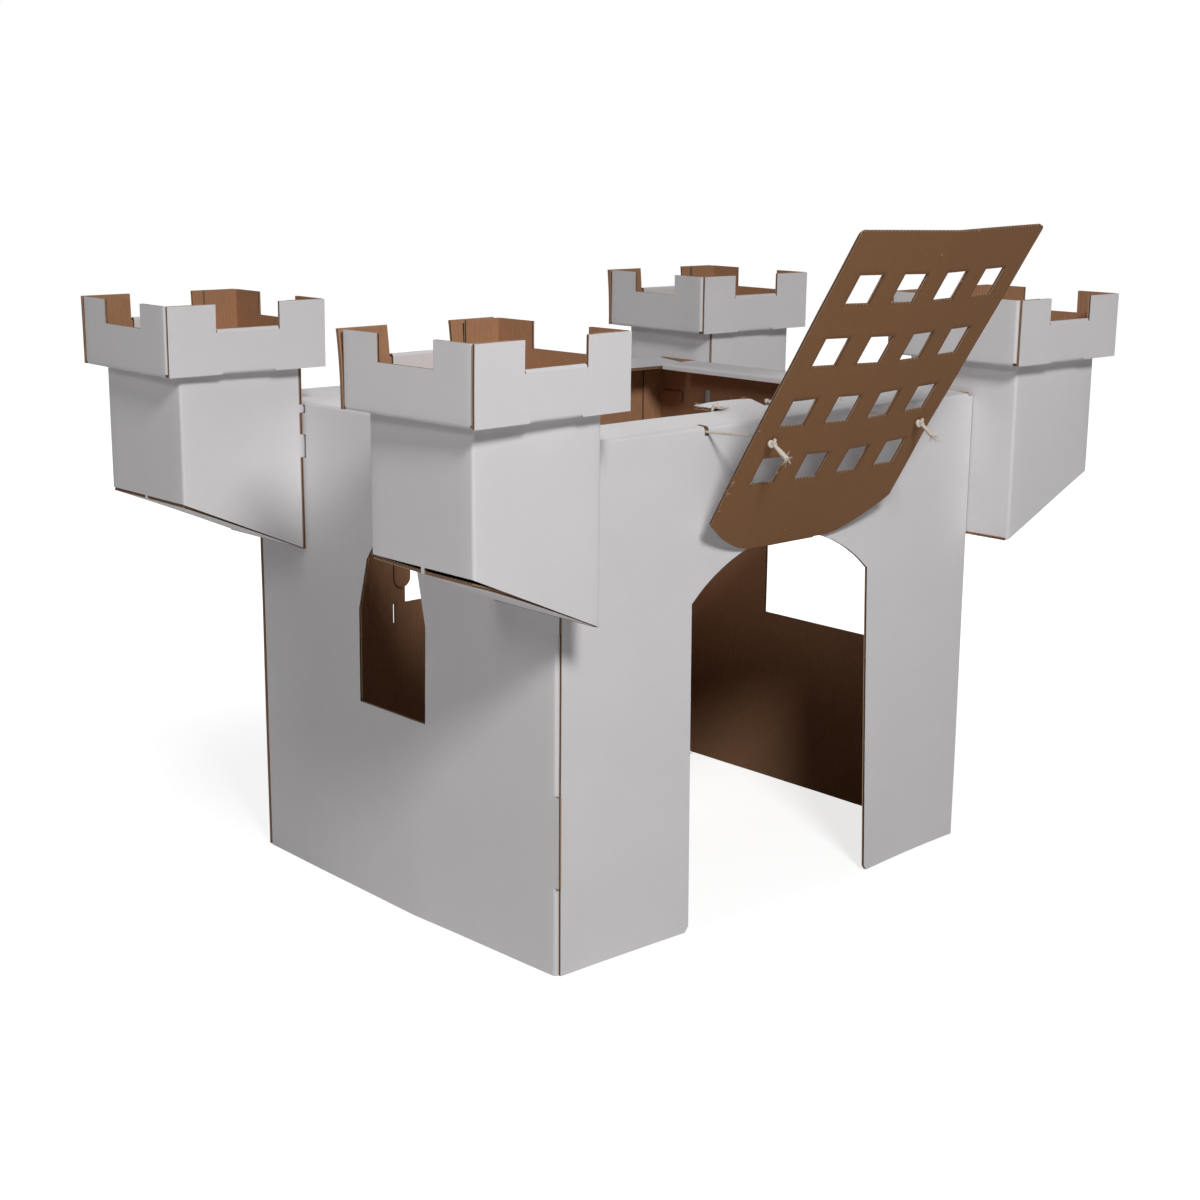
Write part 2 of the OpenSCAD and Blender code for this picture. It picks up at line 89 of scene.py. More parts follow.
def folded(corners, radius=FOLD, bits=5):
    """Line through the corners and the distance along it. Each inner corner becomes an arc that touches
    both of its sides: its points turn evenly from one touching point to the other about the arc's middle."""
    corners = np.asarray(corners, float)
    line = [corners[:1]]
    share = np.linspace(0, 1, bits + 1)[:, None]
    for before, corner, after in zip(corners[:-2], corners[1:-1], corners[2:]):
        a, b = unit(before - corner), unit(after - corner)
        half = math.acos(a @ b) / 2
        middle = corner + unit(a + b) * radius / math.sin(half)
        start = corner + a * radius / math.tan(half) - middle
        end = corner + b * radius / math.tan(half) - middle
        turn = math.pi - 2 * half
        arc = np.sin((1 - share) * turn) * start + np.sin(share * turn) * end
        line.append(middle + arc / math.sin(turn))
    line = np.concatenate(line + [corners[-1:]])
    far = np.concatenate([[0], np.cumsum(np.linalg.norm(np.diff(line, axis=0), axis=1))])
    return line, far


def along(path, s):
    """Points of a folded line at the distances s, by straight interpolation."""
    line, far = path
    return np.stack([np.interp(s, far, line[:, k]) for k in range(line.shape[1])], -1)


def upright(path, s, z):
    """Grid of a sheet that stands on a plan line: the line's x and y at each s, and the heights z."""
    z = np.broadcast_to(z, (len(s), np.shape(z)[-1]))
    plan = np.broadcast_to(along(path, s)[:, None, :], z.shape + (2,))
    points = np.concatenate([plan, z[..., None]], -1)
    flat = np.stack([np.broadcast_to(s[:, None], z.shape), z], -1)
    return points, flat


def across_x(path, x, s):
    """Grid of a sheet with one section all along x: the section's y and z at each s, at every x."""
    section = np.broadcast_to(along(path, s)[None], (len(x), len(s), 2))
    width = np.broadcast_to(x[:, None, None], (len(x), len(s), 1))
    flat = np.stack(np.broadcast_arrays(x[:, None], s[None]), -1)
    return np.concatenate([width, section], -1), flat


def across_y(path, y, s):
    """Grid of a sheet with one section all along y: the section's x and z at each s, at every y."""
    points, flat = across_x(path, y, s)
    return points[..., [1, 0, 2]], flat


def facing(x, y, z):
    """Grid of a sheet that faces the front, from x, y and z that fit together, with x and z as its layout."""
    points = np.stack(np.broadcast_arrays(x, y, z), -1)
    return points, points[..., [0, 2]]


def centre(grid):
    """Middle value of each cell of a grid of numbers."""
    return (grid[:-1, :-1] + grid[1:, :-1] + grid[1:, 1:] + grid[:-1, 1:]) / 4


def inside(value, low, high):
    return (value > low) & (value < high)


class Sheet:
    """One piece of board, gathered as grids of its white face that join where their edges meet."""

    def __init__(self, name):
        self.name = name
        self.points = []
        self.flat = []
        self.quads = []
        self.count = 0

    def patch(self, grid, out, keep=None):
        """Adds a grid of points with its flat layout. out points away from the first cell's white face."""
        points, flat = grid
        rows, columns = points.shape[:2]
        index = np.arange(rows * columns).reshape(rows, columns)
        quads = np.stack([index[:-1, :-1], index[1:, :-1], index[1:, 1:], index[:-1, 1:]], -1)
        quads = quads.reshape(-1, 4) if keep is None else quads[keep]
        points = points.reshape(-1, 3)
        a, b, c, d = points[quads[0]]
        if np.cross(c - a, d - b) @ np.asarray(out, float) < 0:
            quads = quads[:, ::-1]
        self.points.append(points)
        self.flat.append(flat.reshape(-1, 2))
        self.quads.append(quads + self.count)
        self.count += len(points)

    def solid(self, bow=None, mirror=(1, 1), thickness=BOARD, seed=1, wave=0.5, brown=None):
        """Closed board: the white face, the brown face one thickness behind it along the mean normals, and
        raw edges between them whose middle is sunk a little, with the flutes' place kept in the layout."""
        points = np.concatenate(self.points)
        flat = np.concatenate(self.flat)
        quads = np.concatenate(self.quads)
        _, first, join = np.unique(np.round(points / WELD).astype(np.int64), axis=0,
                                   return_index=True, return_inverse=True)
        kept, face = np.unique(join.reshape(-1)[quads], return_inverse=True)
        white = points[first[kept]]
        face = face.reshape(-1, 4)
        layout = flat[quads]
        if bow is not None:
            white = bow(white)
        normal = mean_normals(white, face)
        white = white + normal * ripple(white, seed, wave)[:, None]
        back = white - normal * thickness

        edges = np.stack([face, np.roll(face, -1, 1)], -1).reshape(-1, 2)
        ends = np.stack([layout, np.roll(layout, -1, 1)], 2).reshape(-1, 2, 2)
        code = edges.min(1) * len(white) + edges.max(1)
        _, where, times = np.unique(code, return_index=True, return_counts=True)
        where = where[times == 1]
        rim, rim_flat = edges[where], ends[where]
        away = np.zeros_like(white)
        side = unit(np.cross(white[rim[:, 1]] - white[rim[:, 0]], normal[rim[:, 0]]))
        np.add.at(away, rim[:, 0], side)
        np.add.at(away, rim[:, 1], side)
        used = np.unique(rim)
        slot = np.zeros(len(white), np.int64)
        slot[used] = np.arange(len(used))
        sunk = RECESS * away[used] / np.maximum(np.linalg.norm(away[used], axis=1, keepdims=True), WELD)
        through = back[used] - white[used]
        near = white[used] + through * LINER - sunk
        far = white[used] + through * (1 - LINER) - sunk

        n = len(white)
        rows = [rim, 2 * n + slot[rim], 2 * n + len(used) + slot[rim], n + rim]
        bands = [np.stack([p[:, 1], p[:, 0], q[:, 0], q[:, 1]], -1) for p, q in zip(rows[:-1], rows[1:])]
        faces = np.concatenate([face, n + face[:, ::-1], *bands])
        edge_layout = rim_flat[:, [1, 0, 0, 1]]
        layout = np.concatenate([layout, layout[:, ::-1], *[edge_layout] * len(bands)])
        vertices = np.concatenate([white, back, near, far])
        through_board = np.concatenate([np.zeros(n), np.ones(n), np.full(len(used), LINER),
                                        np.full(len(used), 1 - LINER)])
        kind = np.repeat([0, 1, 2], [len(face), len(face), len(rim) * len(bands)])

        sx, sy = mirror
        vertices = vertices * [sx, 1, 1]
        if sy < 0:
            vertices = vertices * [1, -1, 1] + [0, DEPTH, 0]
        if sx * sy < 0:
            faces = faces[:, ::-1]
            layout = layout[:, ::-1]
        piece = put(self.name, vertices, faces)
        mesh = piece.data
        mesh.uv_layers.new(name="flat").data.foreach_set("uv", (layout * MM).ravel())
        mesh.attributes.new("through_board", "FLOAT", "POINT").data.foreach_set("value", through_board)
        for finish in (white_liner, brown or kraft_liner, raw_edge):
            mesh.materials.append(finish)
        mesh.polygons.foreach_set("material_index", kind)
        mesh.set_sharp_from_angle(angle=SHARP)
        return piece


def mean_normals(points, face):
    """Normal at each point: the mean of its faces' normals by area, each the diagonals' cross product."""
    corner = points[face]
    area = np.cross(corner[:, 2] - corner[:, 0], corner[:, 3] - corner[:, 1])
    total = np.zeros_like(points)
    np.add.at(total, face, area[:, None, :])
    return unit(total)


def ripple(points, seed, height):
    """Slight unevenness of the board: the sum of four long sine waves across space in drawn directions."""
    draw = np.random.default_rng(seed)
    ways = unit(draw.normal(size=(4, 3)))
    lengths = draw.uniform(140, 420, 4)
    starts = draw.uniform(0, 2 * np.pi, 4)
    return height * np.sin(points @ ways.T * (2 * np.pi / lengths) + starts).sum(1) / 2


def in_row(points):
    """Points of the castle's frame in the row frame, in metres."""
    return (np.asarray(points, float) + [0, FRONT, 0]) * MM


def put(name, vertices, faces):
    """New piece from points in millimetres of the castle's frame, with its place in its mesh."""
    mesh = bpy.data.meshes.new(name)
    mesh.from_pydata(in_row(vertices), [], [list(f) for f in faces])
    mesh.shade_smooth()
    piece = bpy.data.objects.new(name, mesh)
    bpy.context.scene.collection.objects.link(piece)
    return piece


class Finish:
    """Procedural material with one surface shader."""

    def __init__(self, name, rough, specular):
        self.material = bpy.data.materials.new(name)
        self.material.use_nodes = True
        self.tree = self.material.node_tree
        self.shader = self.tree.nodes["Principled BSDF"]
        self.shader.inputs["Roughness"].default_value = rough
        self.shader.inputs["Specular IOR Level"].default_value = specular

    def fill(self, socket, value):
        """Gives an input a number, a colour or another node's output."""
        if isinstance(value, bpy.types.NodeSocket):
            self.tree.links.new(value, socket)
        else:
            socket.default_value = value

    def node(self, kind, inputs, out=0, **settings):
        """New node with its settings and inputs, by name or number; gives one of its outputs."""
        node = self.tree.nodes.new("ShaderNode" + kind)
        for key, value in settings.items():
            setattr(node, key, value)
        for key, value in inputs.items():
            self.fill(node.inputs[key], value)
        return node.outputs[out]

    def math(self, operation, *values):
        return self.node("Math", dict(enumerate(values)), operation=operation)

    def place(self):
        """Place on the piece, in metres."""
        return self.node("TexCoord", {}, "Object")

    def layout(self, axis=0):
        """Distance on the flat board, across its flutes or along them, in metres."""
        return self.node("SeparateXYZ", {"Vector": self.node("UVMap", {}, uv_map="flat")}, axis)

    def speckle(self, scale, detail=3.0, stretch=(1, 1, 1)):
        """Noise over the piece's place, drawn out by stretch."""
        at = self.node("Mapping", {"Vector": self.place(), "Scale": stretch})
        return self.node("TexNoise", {"Vector": at, "Scale": scale, "Detail": detail, "Roughness": 0.6})

    def ramp(self, value, *stops):
        """Colour by value, through stops of place and colour."""
        node = self.tree.nodes.new("ShaderNodeValToRGB")
        self.fill(node.inputs["Fac"], value)
        marks = node.color_ramp.elements
        for mark, (at, colour) in zip([*marks, *[marks.new(0.5) for _ in stops[2:]]], stops):
            mark.position = at
            mark.color = (*colour, 1)
        return node.outputs["Color"]

    def mix(self, share, a, b):
        node = self.tree.nodes.new("ShaderNodeMix")
        node.data_type = "RGBA"
        self.fill(node.inputs["Factor"], share)
        self.fill(node.inputs[6], a if isinstance(a, bpy.types.NodeSocket) else (*a, 1))
        self.fill(node.inputs[7], b if isinstance(b, bpy.types.NodeSocket) else (*b, 1))
        return node.outputs[2]

    def bump(self, height, depth, before=None):
        """Bump of a height between nought and one, depth metres deep."""
        inputs = {"Height": height, "Distance": depth, "Strength": 1.0}
        if before is not None:
            inputs["Normal"] = before
        return self.node("Bump", inputs)

    def done(self, colour, normal=None):
        self.fill(self.shader.inputs["Base Color"], colour)
        if normal is not None:
            self.fill(self.shader.inputs["Normal"], normal)
        return self.material


def flutes(finish):
    """Wave from nought to one across the flutes: half of one plus the sine of the distance over the flute."""
    turn = finish.math("MULTIPLY", finish.layout(), 2 * math.pi / (FLUTE * MM))
    return finish.math("MULTIPLY_ADD", finish.math("SINE", turn), 0.5, 0.5)


def make_white_liner():
    """Matt white liner: faint clouds and fibres, with the flutes barely pressed through."""
    finish = Finish("white_liner", 0.62, 0.3)
    clouds = finish.ramp(finish.speckle(7), (0.3, (0.735, 0.715, 0.728)), (0.7, (0.775, 0.757, 0.77)))
    fibres = finish.ramp(finish.speckle(900, 2), (0.35, (0.70, 0.68, 0.69)), (0.6, (0.785, 0.767, 0.78)))
    pressed = finish.bump(flutes(finish), 0.00003)
    grain = finish.bump(finish.speckle(1400, 2), 0.00004, pressed)
    return finish.done(finish.mix(0.4, clouds, fibres), grain)


KRAFT_DARK = (0.35, 0.18, 0.093)
KRAFT_MID = (0.48, 0.257, 0.143)
KRAFT_PALE = (0.59, 0.335, 0.2)


def kraft_colour(finish):
    """Brown of the inner liner: long fibres and small flecks, with the flutes as soft bands."""
    fibres = finish.ramp(finish.speckle(260, 4, (1, 1, 0.2)), (0.3, KRAFT_DARK), (0.7, KRAFT_MID))
    flecks = finish.ramp(finish.speckle(1500, 2), (0.3, KRAFT_DARK), (0.5, KRAFT_MID), (0.75, KRAFT_PALE))
    bands = flutes(finish)
    colour = finish.mix(finish.math("MULTIPLY", bands, 0.14), finish.mix(0.5, fibres, flecks), KRAFT_DARK)
    return colour, bands


def make_kraft_liner():
    """Brown liner: long fibres, small dark and pale flecks, and the flutes showing as soft bands."""
    finish = Finish("kraft_liner", 0.8, 0.15)
    colour, bands = kraft_colour(finish)
    return finish.done(colour, finish.bump(bands, 0.00012))


def make_raw_edge():
    """Cut edge: the two liners outside, and between them the wavy medium, with painted shade in the hollows
    beside it.
    """
    finish = Finish("raw_edge", 0.85, 0.1)
    through = finish.node("Attribute", {}, "Fac", attribute_name="through_board")
    medium = finish.math("MULTIPLY_ADD", flutes(finish), 0.66, 0.17)
    off = finish.math("ABSOLUTE", finish.math("SUBTRACT", through, medium))
    wall = finish.math("ABSOLUTE", finish.math("SUBTRACT", through, 0.5))
    wave = finish.math("LESS_THAN", off, 0.13)
    paper = finish.math("MAXIMUM", wave, finish.math("GREATER_THAN", wall, 0.4))
    fibres = finish.ramp(finish.speckle(1200, 3), (0.3, (0.33, 0.20, 0.125)), (0.7, (0.52, 0.37, 0.26)))
    # Where there is no paper, the hollows get a near-black brown: painted shade inside the flutes.
    return finish.done(finish.mix(paper, (0.11, 0.06, 0.035), fibres))


def make_cotton():
    """Natural cotton: warm white, finely flecked, with a soft sheen."""
    finish = Finish("cotton", 0.9, 0.1)
    fibres = finish.ramp(finish.speckle(1800, 3), (0.3, (0.60, 0.53, 0.44)), (0.7, (0.84, 0.78, 0.69)))
    finish.shader.inputs["Sheen Weight"].default_value = 0.3
    return finish.done(fibres, finish.bump(finish.speckle(2500, 2), 0.0002))


def make_torn_paper():
    """Fibres torn out of the board: pale brown, flecked."""
    finish = Finish("torn_paper", 0.95, 0.05)
    return finish.done(finish.ramp(finish.speckle(1600, 2), (0.3, KRAFT_MID), (0.7, (0.66, 0.52, 0.40))))


# Wall sheets

GATE_HALF = 218.0
GATE_SPRING = 564.0
GATE_RISE = 88.0
GATE_FOLD = 639.0
OPENING_TOP = GATE_FOLD + 6.0
CHAMFER = (8.0, 10.0)
SHEET_HALF = HALF_W - 13.0
FLUSH = HALF_W - 1.0
FRONT_EDGE = HALF_W - 6.0
NOTCH_Z = 836.0
NOTCH_X = 192.0
NOTCH_W = 9.0
NOTCH_IN = 15.0
FLAP = 95.0
FRONT_RISE = 3.5
BACK_SAG = 4.0
TONGUE_BASE = 46.0
TONGUE_TIP = 69.0
TONGUE_D = 60.0
TONGUE_R = 8.0
TONGUE_BULGE = 7.0
HATCH_HALF = 183.0
HATCH_LOW = 418.0
HATCH_TOP = 628.0
KEEPER_X = HATCH_HALF + 9.5
KEEPER_HALF = 19.0
KEEPER_LOW = 450.0
KEEPER_TOP = 523.0
SLOT_X = (HATCH_HALF + 24, HATCH_HALF + 29)
SLOT_LOW = HATCH_LOW - 38
LEG_OUT = (6.0, 18.0)
LEG_ASIDE = 6.0


def arch_radius(half, rise):
    return (half * half + rise * rise) / (2 * rise)


ARCH_R = arch_radius(GATE_HALF, GATE_RISE)
FOLD_HALF = math.sqrt(ARCH_R ** 2 - (OPENING_TOP - GATE_SPRING - GATE_RISE + ARCH_R) ** 2)


def flap_path(tilt, start):
    """Section of a wall's top: up its outer face from start, round the fold and along the tilted flap."""
    turn = math.radians(tilt)
    corner = BEND_Z + BOARD / math.cos(turn) - BOARD * math.tan(turn)
    reach = FLAP - BOARD
    end = [reach * math.cos(turn) - BOARD * math.sin(turn),
           BEND_Z + reach * math.sin(turn) + BOARD * math.cos(turn)]
    return folded([[-BOARD, start], [-BOARD, corner], end])


def legs_bowed(p):
    """Front legs bowed out at the floor: the share of the way from the corner to the gateway, to the power
    one and a half, times the share of the height left below the fold."""
    x, z = p[:, 0], p[:, 2]
    free = np.clip((SHEET_HALF - np.abs(x)) / (SHEET_HALF - GATE_HALF), 0, 1) ** 1.5
    free = free * np.clip(1 - z / GATE_FOLD, 0, 1)
    right = x > 0
    out = np.where(right, LEG_OUT[1], LEG_OUT[0])
    return p + np.stack([LEG_ASIDE * free * right, -out * free, 0 * z], -1)


def front_wall():
    """Front sheet: two legs with clipped feet, the wall above the gateway, whose arch ends flat at the gate's
    fold, the top fold with the cords' notches, and the tongue, which widens to its round-cornered end."""
    sheet = Sheet("front_wall_sheet")
    notch = [s * NOTCH_X + e * NOTCH_W / 2 for s in (-1, 1) for e in (-1, 1)]
    half = [GATE_HALF + CHAMFER[0], GATE_HALF, FOLD_HALF, TONGUE_BASE, SHEET_HALF]
    x = spans([-FRONT_EDGE, 0, FLUSH, *half, *[-h for h in half], *notch])
    foot = CHAMFER[1] * np.clip(1 - (np.abs(x) - GATE_HALF) / CHAMFER[0], 0, 1)
    share = np.linspace(0, 1, 25)
    for leg in (x <= -GATE_HALF, x >= GATE_HALF):
        low = foot[leg, None]
        sheet.patch(facing(x[leg, None], -BOARD, low + (GATE_SPRING - low) * share), (0, -1, 0))
    arch = GATE_SPRING + GATE_RISE - ARCH_R + np.sqrt(ARCH_R ** 2 - np.minimum(np.abs(x), GATE_HALF) ** 2)
    low = np.minimum(arch, OPENING_TOP)[:, None]
    sheet.patch(facing(x[:, None], -BOARD, low + (NOTCH_Z - low) * np.linspace(0, 1, 11)), (0, -1, 0))
    for strip in (x <= -SHEET_HALF, x >= SHEET_HALF):
        sheet.patch(facing(x[strip, None], -BOARD, np.array([[NOTCH_Z, BEND_Z]])), (0, -1, 0))

    path = flap_path(FRONT_RISE, NOTCH_Z)
    s = spans([*path[1], np.interp(NOTCH_IN, path[0][3:, 0], path[1][3:])])
    points, flat = across_x(path, x[np.abs(x) <= SHEET_HALF], s)
    xc, yc = np.abs(centre(points[..., 0])), centre(points[..., 1])
    cut = (np.abs(xc - NOTCH_X) < NOTCH_W / 2) & (yc < NOTCH_IN)
    sheet.patch((points, flat + [0, NOTCH_Z]), (0, -1, 0), ~cut)

    share = x[np.abs(x) <= TONGUE_BASE] / TONGUE_BASE
    bend = TONGUE_R * np.sin(np.linspace(0, math.pi / 2, 9))
    t = np.concatenate([np.linspace(0, TONGUE_D - TONGUE_R, 5), TONGUE_D - TONGUE_R + bend[1:]])
    past = np.maximum(t - (TONGUE_D - TONGUE_R), 0)
    widen = TONGUE_BASE + (TONGUE_TIP - TONGUE_BASE) * np.minimum(t / (TONGUE_D - TONGUE_R), 1)
    width = widen - TONGUE_R + np.sqrt(np.maximum(TONGUE_R ** 2 - past ** 2, 0))
    width = width * TONGUE_BASE / width[0]
    out = t + TONGUE_BULGE * (1 - share[:, None] ** 2) * t / TONGUE_D
    way = unit(path[0][-1] - path[0][-2])
    section = path[0][-1] + out[..., None] * way
    points = np.stack([share[:, None] * width, section[..., 0], section[..., 1]], -1)
    flat = np.stack([points[..., 0], NOTCH_Z + path[1][-1] + out], -1)
    sheet.patch((points, flat), (0, 0, 1))
    return sheet.solid(bow=legs_bowed, seed=3)


def back_wall():
    """Back sheet, drawn facing the front and turned half round: wall with its hatch and slot, top fold and
    flap, and the keeper tongue on its inner face, a strip with a half round lower end."""
    sheet = Sheet("back_wall_sheet")
    x = spans([-SHEET_HALF, -HATCH_HALF, 0, HATCH_HALF, SHEET_HALF, FLUSH, *SLOT_X])
    z = spans([0, SLOT_LOW, HATCH_LOW, HATCH_TOP, NOTCH_Z])
    points, flat = facing(x[:, None], -BOARD, z[None])
    xc, zc = centre(points[..., 0]), centre(points[..., 2])
    hatch = (np.abs(xc) < HATCH_HALF) & inside(zc, HATCH_LOW, HATCH_TOP)
    cut = hatch | inside(xc, *SLOT_X) & inside(zc, SLOT_LOW, HATCH_LOW)
    sheet.patch((points, flat), (0, -1, 0), ~cut)
    sheet.patch(facing(x[x >= SHEET_HALF, None], -BOARD, np.array([[NOTCH_Z, BEND_Z]])), (0, -1, 0))
    path = flap_path(-BACK_SAG, NOTCH_Z)
    points, flat = across_x(path, x[x <= SHEET_HALF], spans(path[1]))
    sheet.patch((points, flat + [0, NOTCH_Z]), (0, -1, 0))
    share = np.linspace(-1, 1, 13)
    turn = np.linspace(0.12, math.pi / 2, 8)
    z = np.append(KEEPER_LOW + KEEPER_HALF * (1 - np.cos(turn)), [KEEPER_TOP - 27, KEEPER_TOP])
    past = np.maximum(KEEPER_LOW + KEEPER_HALF - z, 0)
    width = np.sqrt(KEEPER_HALF ** 2 - past ** 2)
    sheet.patch(facing(KEEPER_X + share[:, None] * width, PLAY, z), (0, -1, 0))
    return sheet.solid(bow=lambda p: p * [-1, -1, 1] + [0, DEPTH, 0], seed=4)


FLANGE_X = HALF_W - 55.0
TAB_REACH = 7.0
TAB_X = HALF_W - 15.0
TABS = ((149.0, 299.0), (561.0, 711.0))
FLAP_Y = (100.0, DEPTH - 100.0)
LIP = 12.0
WINDOW = (323.5, 508.5)
WINDOW_LOW = 345.0
WINDOW_SPRING = 510.0
SIDE_HATCH = (190.0, 490.0, 350.0, 600.0)
HOOK_SLOT = (17.5, 72.5, 777.5, 783.5)
TAB_SLOTS = ((136.5, 149.5, 751.5, 792.5), (136.5, 149.5, 829.5, 844.5))
UPPER_Z = TABS[1][1]


def window_top(y):
    """Height of the window's pointed arch: the lower of two circles struck from the two springing points."""
    w = WINDOW[1] - WINDOW[0]
    off = np.clip(np.maximum(y - WINDOW[0], WINDOW[1] - y), 0, w)
    return WINDOW_SPRING + np.sqrt(w * w - off * off)


def side_wall(name, mirror, bow, seed):
    """Side sheet, drawn as the left one: its plan runs round both corner folds to the flanges. The left one
    has the pointed window and straight tabs at its front corner, the right one the square hatch; both have
    the towers' slots and the turned-in top flap, which ends in a small lip on the right."""
    sheet = Sheet(name)
    left = mirror[0] > 0
    plan = [[-FLANGE_X, PLAY], [-HALF_W, PLAY], [-HALF_W, DEPTH - PLAY], [-FLANGE_X, DEPTH - PLAY]]
    path = folded(plan)
    line, far = path
    first, last = far[6], far[7]
    tab_s = TAB_X - FLANGE_X

    def s_of(y):
        return first + np.asarray(y) - line[6, 1]

    slots = [HOOK_SLOT, *TAB_SLOTS]
    slots = slots + [(DEPTH - b, DEPTH - a, c, d) for a, b, c, d in slots]
    marks = [v for cut in slots for v in cut[:2]] + [*FLAP_Y]
    marks += [*WINDOW, sum(WINDOW) / 2] if left else [*SIDE_HATCH[:2]]
    s = spans([*far, *s_of(marks), tab_s])

    def standing(z):
        points, flat = upright(path, s, z)
        sc, yc, zc = centre(flat[..., 0]), centre(points[..., 1]), centre(points[..., 2])
        cut = left & inside(sc, tab_s, first) & (inside(zc, *TABS[0]) | inside(zc, *TABS[1]))
        for a, b, c, d in slots:
            cut |= inside(yc, a, b) & inside(zc, c, d)
        return (points, flat), cut, sc, yc, zc

    outward = (0, -1, 0)
    if left:
        grid, cut, *_ = standing(spans([0, *TABS[0], WINDOW_LOW]))
        sheet.patch(grid, outward, ~cut)
        grid, cut, sc, yc, zc = standing(spans([WINDOW_LOW, WINDOW_SPRING]))
        sheet.patch(grid, outward, ~(cut | inside(yc, *WINDOW)))
        y = along(path, s)[:, 1]
        low = np.where((y > WINDOW[0]) & (y < WINDOW[1]), window_top(np.clip(y, *WINDOW)), WINDOW_SPRING)
        height = UPPER_Z - WINDOW_SPRING
        tab_foot = (TABS[1][0] - WINDOW_SPRING) / height
        rise = spans([0, tab_foot, 1], 0.12)
        grid, cut, *_ = standing(low[:, None] + (UPPER_Z - low)[:, None] * rise)
        sheet.patch(grid, outward, ~cut)
        for z in (spans(TABS[0]), WINDOW_SPRING + height * rise[rise > tab_foot - WELD]):
            y = np.linspace(-TAB_REACH, line[6, 1], 3)
            points = np.stack(np.broadcast_arrays(-HALF_W, y[:, None], z[None]), -1)
            sheet.patch((points, points[..., [1, 2]]), (-1, 0, 0))
    else:
        grid, cut, sc, yc, zc = standing(spans([0, *SIDE_HATCH[2:], UPPER_Z]))
        sheet.patch(grid, outward, ~(cut | inside(yc, *SIDE_HATCH[:2]) & inside(zc, *SIDE_HATCH[2:])))

    grid, cut, sc, yc, zc = standing(spans([UPPER_Z, *[v for c in slots for v in c[2:]], FLANGE_TOP, BEND_Z]))
    flange = ~inside(sc, first, last) & (zc > FLANGE_TOP)
    turned = inside(yc, *FLAP_Y) & (zc > FLANGE_TOP)
    sheet.patch(grid, outward, ~(cut | flange | turned))
    grid, cut, sc, yc, zc = standing(np.array([BEND_Z, WALL_H]))
    sheet.patch(grid, (-1, 0, 0), inside(sc, first, last) & ~inside(yc, *FLAP_Y))

    edge = [[-HALF_W, FLANGE_TOP], [-HALF_W, WALL_H], [-HALF_W + FLAP, WALL_H]]
    section = folded(edge if left else [*edge, [-HALF_W + FLAP, WALL_H - LIP]])
    y = along(path, s)[:, 1]
    y = y[(s >= s_of(FLAP_Y[0]) - WELD) & (s <= s_of(FLAP_Y[1]) + WELD)]
    points, flat = across_y(section, y, spans(section[1]))
    sheet.patch((points, flat + [first, FLANGE_TOP]), (-1, 0, 0))
    return sheet.solid(bow=bow, mirror=mirror, seed=seed)


BULGE_RIDGE = 351.0
BULGE_OUT = 13.0
BULGE_TOP = 620.0


def bowed(p):
    """Left wall pushed out at the floor: a tent over y with its ridge at the crease, fading upwards."""
    y = p[:, 1]
    tent = np.clip(np.minimum(y / BULGE_RIDGE, (DEPTH - y) / (DEPTH - BULGE_RIDGE)), 0, 1)
    fade = np.clip(1 - p[:, 2] / BULGE_TOP, 0, 1)
    return p - np.stack([BULGE_OUT * tent * fade, 0 * tent, 0 * tent], -1)


# Corner towers and crowns, drawn at the front left corner

TOWER_W = 240.0
TOWER_X0 = -HALF_W - TOWER_W
TOWER_X1 = -HALF_W - PLAY
TOWER_Y0 = -98.0
TOWER_Y1 = TOWER_Y0 + TOWER_W
TOWER_LOW_OUT = 695.0
TOWER_LOW_IN = 589.0
TOWER_TOP = 910.0
FLOOR_T = 5.5
FLOOR_SHOWS = 1.5
BRIDGE_W = 8.0
SEAM = 1.0
HOOK = (783.0, 760.0, 18.0, 72.0)
TOWER_TABS = ((752.0, 792.0), (830.0, 844.0))


def tower_low(x):
    """Height of a tower's sloping lower edge: straight from its outer face down to the wall."""
    return TOWER_LOW_OUT + (TOWER_LOW_IN - TOWER_LOW_OUT) * (x - TOWER_X0) / TOWER_W


def tower_floor(x, y, open_end):
    """Underside of the sloping bottom: just below the lower edge, and further by the board and a gap that
    opens to the front, times the cube of the share of the way out from the wall."""
    gap = open_end * np.clip((TOWER_Y1 - y) / (0.6 * TOWER_W), 0, 1)
    return tower_low(x) - FLOOR_SHOWS - (FLOOR_T + gap - FLOOR_SHOWS) * ((TOWER_X1 - x) / TOWER_W) ** 3


